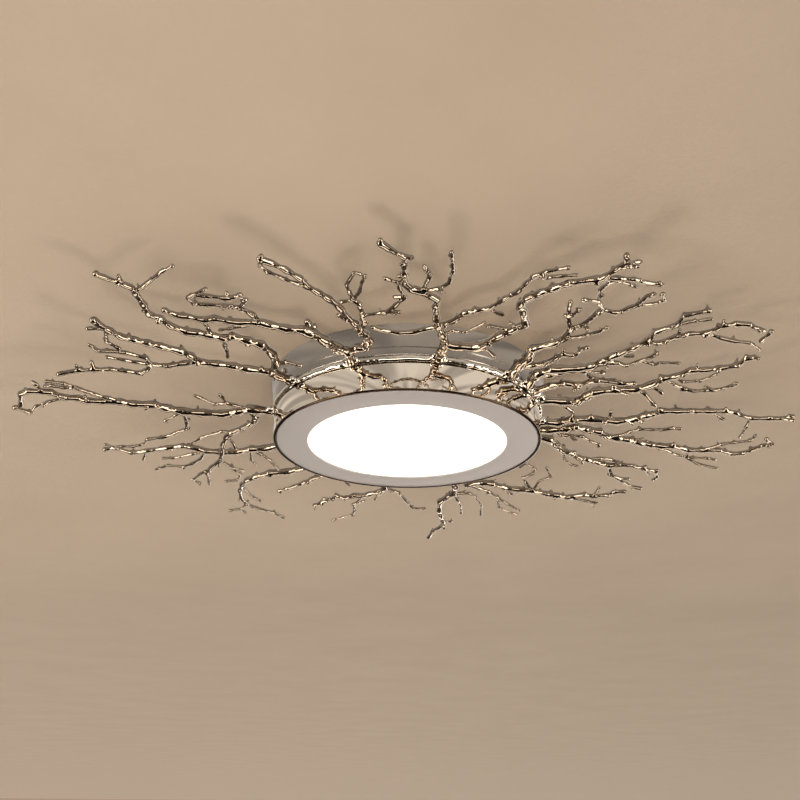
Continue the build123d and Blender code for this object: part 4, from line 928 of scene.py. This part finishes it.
@dataclass
class Studio:
    """The ceiling, the light of the room and the camera.

    Attributes:
        camera_place: where the camera stands.
        camera_pitch: how far it looks up.
        camera_roll: how far it leans.
        camera_lens: focal length.
        sensor: width of its sensor.
        ceiling_gap: height of the ceiling over the light's upper plane.
        ceiling_hole: radius of its opening.
        ceiling_reach: radius of the whole ceiling.
        lamp_place: where the shadow lamp hangs, in metres.
        lamp_size: width of its disc, in metres.
        lamp_strength: how bright it is.
        pool_share: how much darker the paint is under it.
        even_light: strength of the light from all round.
        softboxes: the panels.
    """

    camera_place: tuple[float, float, float] = (-9.9, -1103.0, -513.0)
    camera_pitch: float = 24.25
    camera_roll: float = 0.47
    camera_lens: float = 40.5
    sensor: float = 36.0
    ceiling_gap: float = 0.2
    ceiling_hole: float = 181.0
    ceiling_reach: float = 150000.0
    lamp_place: tuple[float, float, float] = (0.0, -0.48, -0.3)
    lamp_size: float = 0.11
    lamp_strength: float = 4.2
    pool_share: float = 0.26
    even_light: float = 0.85
    softboxes: tuple[Softbox, ...] = (
        Softbox(-90.0, -30.0, 0.45, 0.1, 6.5),
        Softbox(-150.0, -20.0, 0.14, 0.3, 9.0),
        Softbox(-30.0, -20.0, 0.14, 0.3, 9.0),
        Softbox(60.0, -7.0, 0.9, 0.07, 5.0),
        Softbox(90.0, -50.0, 0.6, 0.12, 4.0),
        Softbox(180.0, -38.0, 0.18, 0.18, 7.0),
        Softbox(0.0, -38.0, 0.18, 0.18, 7.0),
    )

    def camera(self) -> None:
        """Sets the camera where the photograph was taken from: below the light, in front, looking up."""
        pitch, roll = math.radians(self.camera_pitch), math.radians(self.camera_roll)
        ahead = Vector((0.0, math.cos(pitch), math.sin(pitch)))
        right = Vector((1.0, 0.0, 0.0))
        above = right.cross(ahead)
        right, above = (right * math.cos(roll) + above * math.sin(roll),
                        above * math.cos(roll) - right * math.sin(roll))
        lens = bpy.data.cameras.new("camera")
        lens.lens = self.camera_lens
        lens.sensor_width = self.sensor
        lens.clip_start, lens.clip_end = 0.01, 400.0
        camera = bpy.data.objects.new("camera", lens)
        camera.matrix_world = (Matrix.Translation(Vector(self.camera_place) * MM)
                               @ Matrix((right, above, -ahead)).transposed().to_4x4())
        bpy.context.scene.collection.objects.link(camera)
        bpy.context.scene.camera = camera

    def plaster(self) -> bpy.types.Material:
        """Makes the ceiling's paint.

        It has painted shade under the lamp, so that the lamp gives shadows and no pool of light, and painted light
        that makes it lighter towards -X and darker towards the far side. Metal reflects it as a painted glow,
        brighter than the paint and striped. Seen from behind it lets the camera through to the light's back.
        """
        # Bearings are taken from a place this far before the lamp, and over at least this depth, in metres
        viewer, least_depth = 1.6, 0.3
        # Painted light: the paint gets lighter towards -X and darker towards the far side
        bearings, painted_side_light = (-0.35, 0.35), (1.06, 0.9)
        depths, painted_depth_light = (-0.2, 1.4), (1.0, 0.81)
        stripe_stretch, stripe_span, stripe_levels = (1.0, 0.12, 0.0), (0.4, 0.6), (0.6, 1.2)
        material = bpy.data.materials.new("painted_plaster")
        tree = cleared(material)
        where = own_place(tree)
        clouds = add(tree, "ShaderNodeTexNoise", {"Vector": where, "Scale": 3.0, "Detail": 5.0, "Roughness": 0.65})
        stipple = add(tree, "ShaderNodeTexNoise", {"Vector": where, "Scale": 160.0, "Detail": 2.0})
        tint = blend(tree, clouds.outputs["Fac"], linear("#cbb398"), linear("#bba287"))
        span = add(tree, "ShaderNodeSeparateXYZ", {0: where}).outputs
        deep = maths(tree, "MAXIMUM", maths(tree, "ADD", span["Y"], viewer), least_depth)
        bearing = maths(tree, "DIVIDE", span["X"], deep)
        foot = (*self.lamp_place[:2], 0.0)
        slope = maths(tree, "DIVIDE", vectors(tree, "DISTANCE", where, foot), -self.lamp_place[2])
        spread = maths(tree, "MULTIPLY_ADD", slope, slope, 1.0)
        level = maths(tree, "SUBTRACT", 1.0, maths(tree, "DIVIDE", self.pool_share, spread))
        level = maths(tree, "MULTIPLY", level, ranged(tree, bearing, bearings, painted_side_light))
        level = maths(tree, "MULTIPLY", level, ranged(tree, span["Y"], depths, painted_depth_light))
        bump = add(tree, "ShaderNodeBump", {"Height": stipple.outputs["Fac"], "Distance": 0.4 * MM})
        colour = vectors(tree, "SCALE", tint, level)
        paint = add(tree, "ShaderNodeBsdfPrincipled", {
            "Base Color": colour, "Roughness": 0.85, "Normal": bump.outputs["Normal"]})
        # Painted reflection: glossy rays see the ceiling as a striped glow, brighter than its lit paint
        stripes_at = vectors(tree, "MULTIPLY", where, stripe_stretch)
        stripes = add(tree, "ShaderNodeTexNoise", {"Vector": stripes_at, "Scale": 18.0, "Detail": 1.0})
        glare = ranged(tree, stripes.outputs["Fac"], stripe_span, stripe_levels)
        glow = add(tree, "ShaderNodeEmission", {"Color": linear("#d6cdc1"), "Strength": glare})
        path = add(tree, "ShaderNodeLightPath").outputs
        both = either(tree, path["Is Glossy Ray"], paint, glow)
        back = add(tree, "ShaderNodeNewGeometry").outputs["Backfacing"]
        through = maths(tree, "MULTIPLY", back, path["Is Camera Ray"])
        mixed = either(tree, through, both, add(tree, "ShaderNodeBsdfTransparent"))
        add(tree, "ShaderNodeOutputMaterial", {"Surface": mixed.outputs[0]})
        return material

    def ceiling(self) -> None:
        """Lays the ceiling round the canopy, facing down, open where the canopy covers it."""
        shape = bmesh.new()
        segments, middle = 96, 1000.0
        turns = [2 * math.pi * step / segments for step in range(segments)]
        loops = []
        for radius in (self.ceiling_hole, middle, self.ceiling_reach):
            points = [(radius * math.cos(a) * MM, radius * math.sin(a) * MM, self.ceiling_gap * MM) for a in turns]
            loops.append([shape.verts.new(point) for point in points])
        for inner, outer in zip(loops, loops[1:]):
            for step in range(segments):
                after = (step + 1) % segments
                shape.faces.new((inner[step], inner[after], outer[after], outer[step]))
        for face in shape.faces:
            face.normal_update()
            if face.normal.z > 0:
                face.normal_flip()
        mesh = mesh_of(shape, "ceiling")
        mesh.materials.append(self.plaster())
        new_object("ceiling", mesh)

    def panel(self, tree: Tree, way: Socket, box: Softbox) -> Socket:
        """Returns the brightness of one softbox over all directions.

        Args:
            tree: the world's tree.
            way: the direction that is looked in.
            box: the softbox.
        """
        turn, tilt = math.radians(box.azimuth), math.radians(box.elevation)
        ahead = Vector((math.cos(turn) * math.cos(tilt), math.sin(turn) * math.cos(tilt), math.sin(tilt)))
        right = ahead.cross(UP).normalized()
        depth = maths(tree, "MAXIMUM", vectors(tree, "DOT_PRODUCT", way, ahead), 0.001)
        shares, soft_edge = [], (0.85, 1.15)
        for axis, half in ((right, box.width), (right.cross(ahead), box.height)):
            off = maths(tree, "DIVIDE", vectors(tree, "DOT_PRODUCT", way, axis), depth)
            edge = [half * share for share in soft_edge]
            away = maths(tree, "ABSOLUTE", off)
            shares.append(ranged(tree, away, edge, (1.0, 0.0), interpolation_type="SMOOTHSTEP"))
        return maths(tree, "MULTIPLY", maths(tree, "MULTIPLY", *shares), box.strength)

    def world(self) -> None:
        """Lights everything evenly, and gives polished metal a room with bright panels to reflect."""
        world = bpy.data.worlds.new("studio")
        bpy.context.scene.world = world
        tree = cleared(world)
        way = add(tree, "ShaderNodeTexCoord").outputs["Generated"]
        height = add(tree, "ShaderNodeSeparateXYZ", {0: way}).outputs["Z"]
        room = add(tree, "ShaderNodeValToRGB", {"Fac": ranged(tree, height, (-1.0, 1.0))})
        stops = ((0.0, "#1c1814"), (0.14, "#2b2520"), (0.26, "#4a4138"), (0.36, "#6e6358"), (0.45, "#a0958a"),
                 (0.5, "#c9bfb2"), (1.0, "#e8dfd2"))
        ramp = room.color_ramp
        while len(ramp.elements) < len(stops):
            ramp.elements.new(0.5)
        for element, (place, colour) in zip(ramp.elements, stops):
            element.position = place
            element.color = linear(colour)
        bright = 0.0
        for box in self.softboxes:
            bright = maths(tree, "ADD", bright, self.panel(tree, way, box))
        panels = add(tree, "ShaderNodeBackground", {"Color": linear("#fff6ea"), "Strength": bright})
        walls = add(tree, "ShaderNodeBackground", {"Color": room.outputs["Color"]})
        mirrored = add(tree, "ShaderNodeAddShader", {0: walls.outputs[0], 1: panels.outputs[0]})
        even = add(tree, "ShaderNodeBackground", {"Color": linear("#ffffff"), "Strength": self.even_light})
        backdrop = add(tree, "ShaderNodeBackground", {"Color": linear("#aa947d")})
        path = add(tree, "ShaderNodeLightPath").outputs
        lit = either(tree, path["Is Glossy Ray"], even, mirrored)
        seen = either(tree, path["Is Camera Ray"], lit, backdrop)
        add(tree, "ShaderNodeOutputWorld", {"Surface": seen.outputs[0]})

    def shadow_lamp(self) -> None:
        """Hangs the low lamp in front that throws the twigs' shadows outwards over the ceiling."""
        light = bpy.data.lights.new("shadow_lamp", "AREA")
        light.shape = "DISK"
        light.size = self.lamp_size
        light.energy = 1.0
        tree = cleared(light)
        even = add(tree, "ShaderNodeLightFalloff", {"Strength": self.lamp_strength})
        glow = add(tree, "ShaderNodeEmission", {"Color": linear("#fffdf9"), "Strength": even.outputs["Constant"]})
        add(tree, "ShaderNodeOutputLight", {"Surface": glow.outputs[0]})
        lamp = bpy.data.objects.new("shadow_lamp", light)
        lamp.location = self.lamp_place
        lamp.rotation_euler = (math.pi, 0.0, 0.0)
        lamp.visible_camera = False
        lamp.visible_glossy = False
        bpy.context.scene.collection.objects.link(lamp)

    def build(self) -> None:
        """Makes the camera, the ceiling and the lights."""
        bpy.context.scene.view_settings.view_transform = "Standard"
        self.camera()
        self.ceiling()
        self.world()
        self.shadow_lamp()


def main() -> None:
    """Builds the light and its studio."""
    logging.basicConfig(level=logging.INFO, format="%(message)s")
    Studio().build()
    Works().build()
    Drum().build()
    Trim().build()
    Crown().build()


if __name__ == "__main__":
    main()
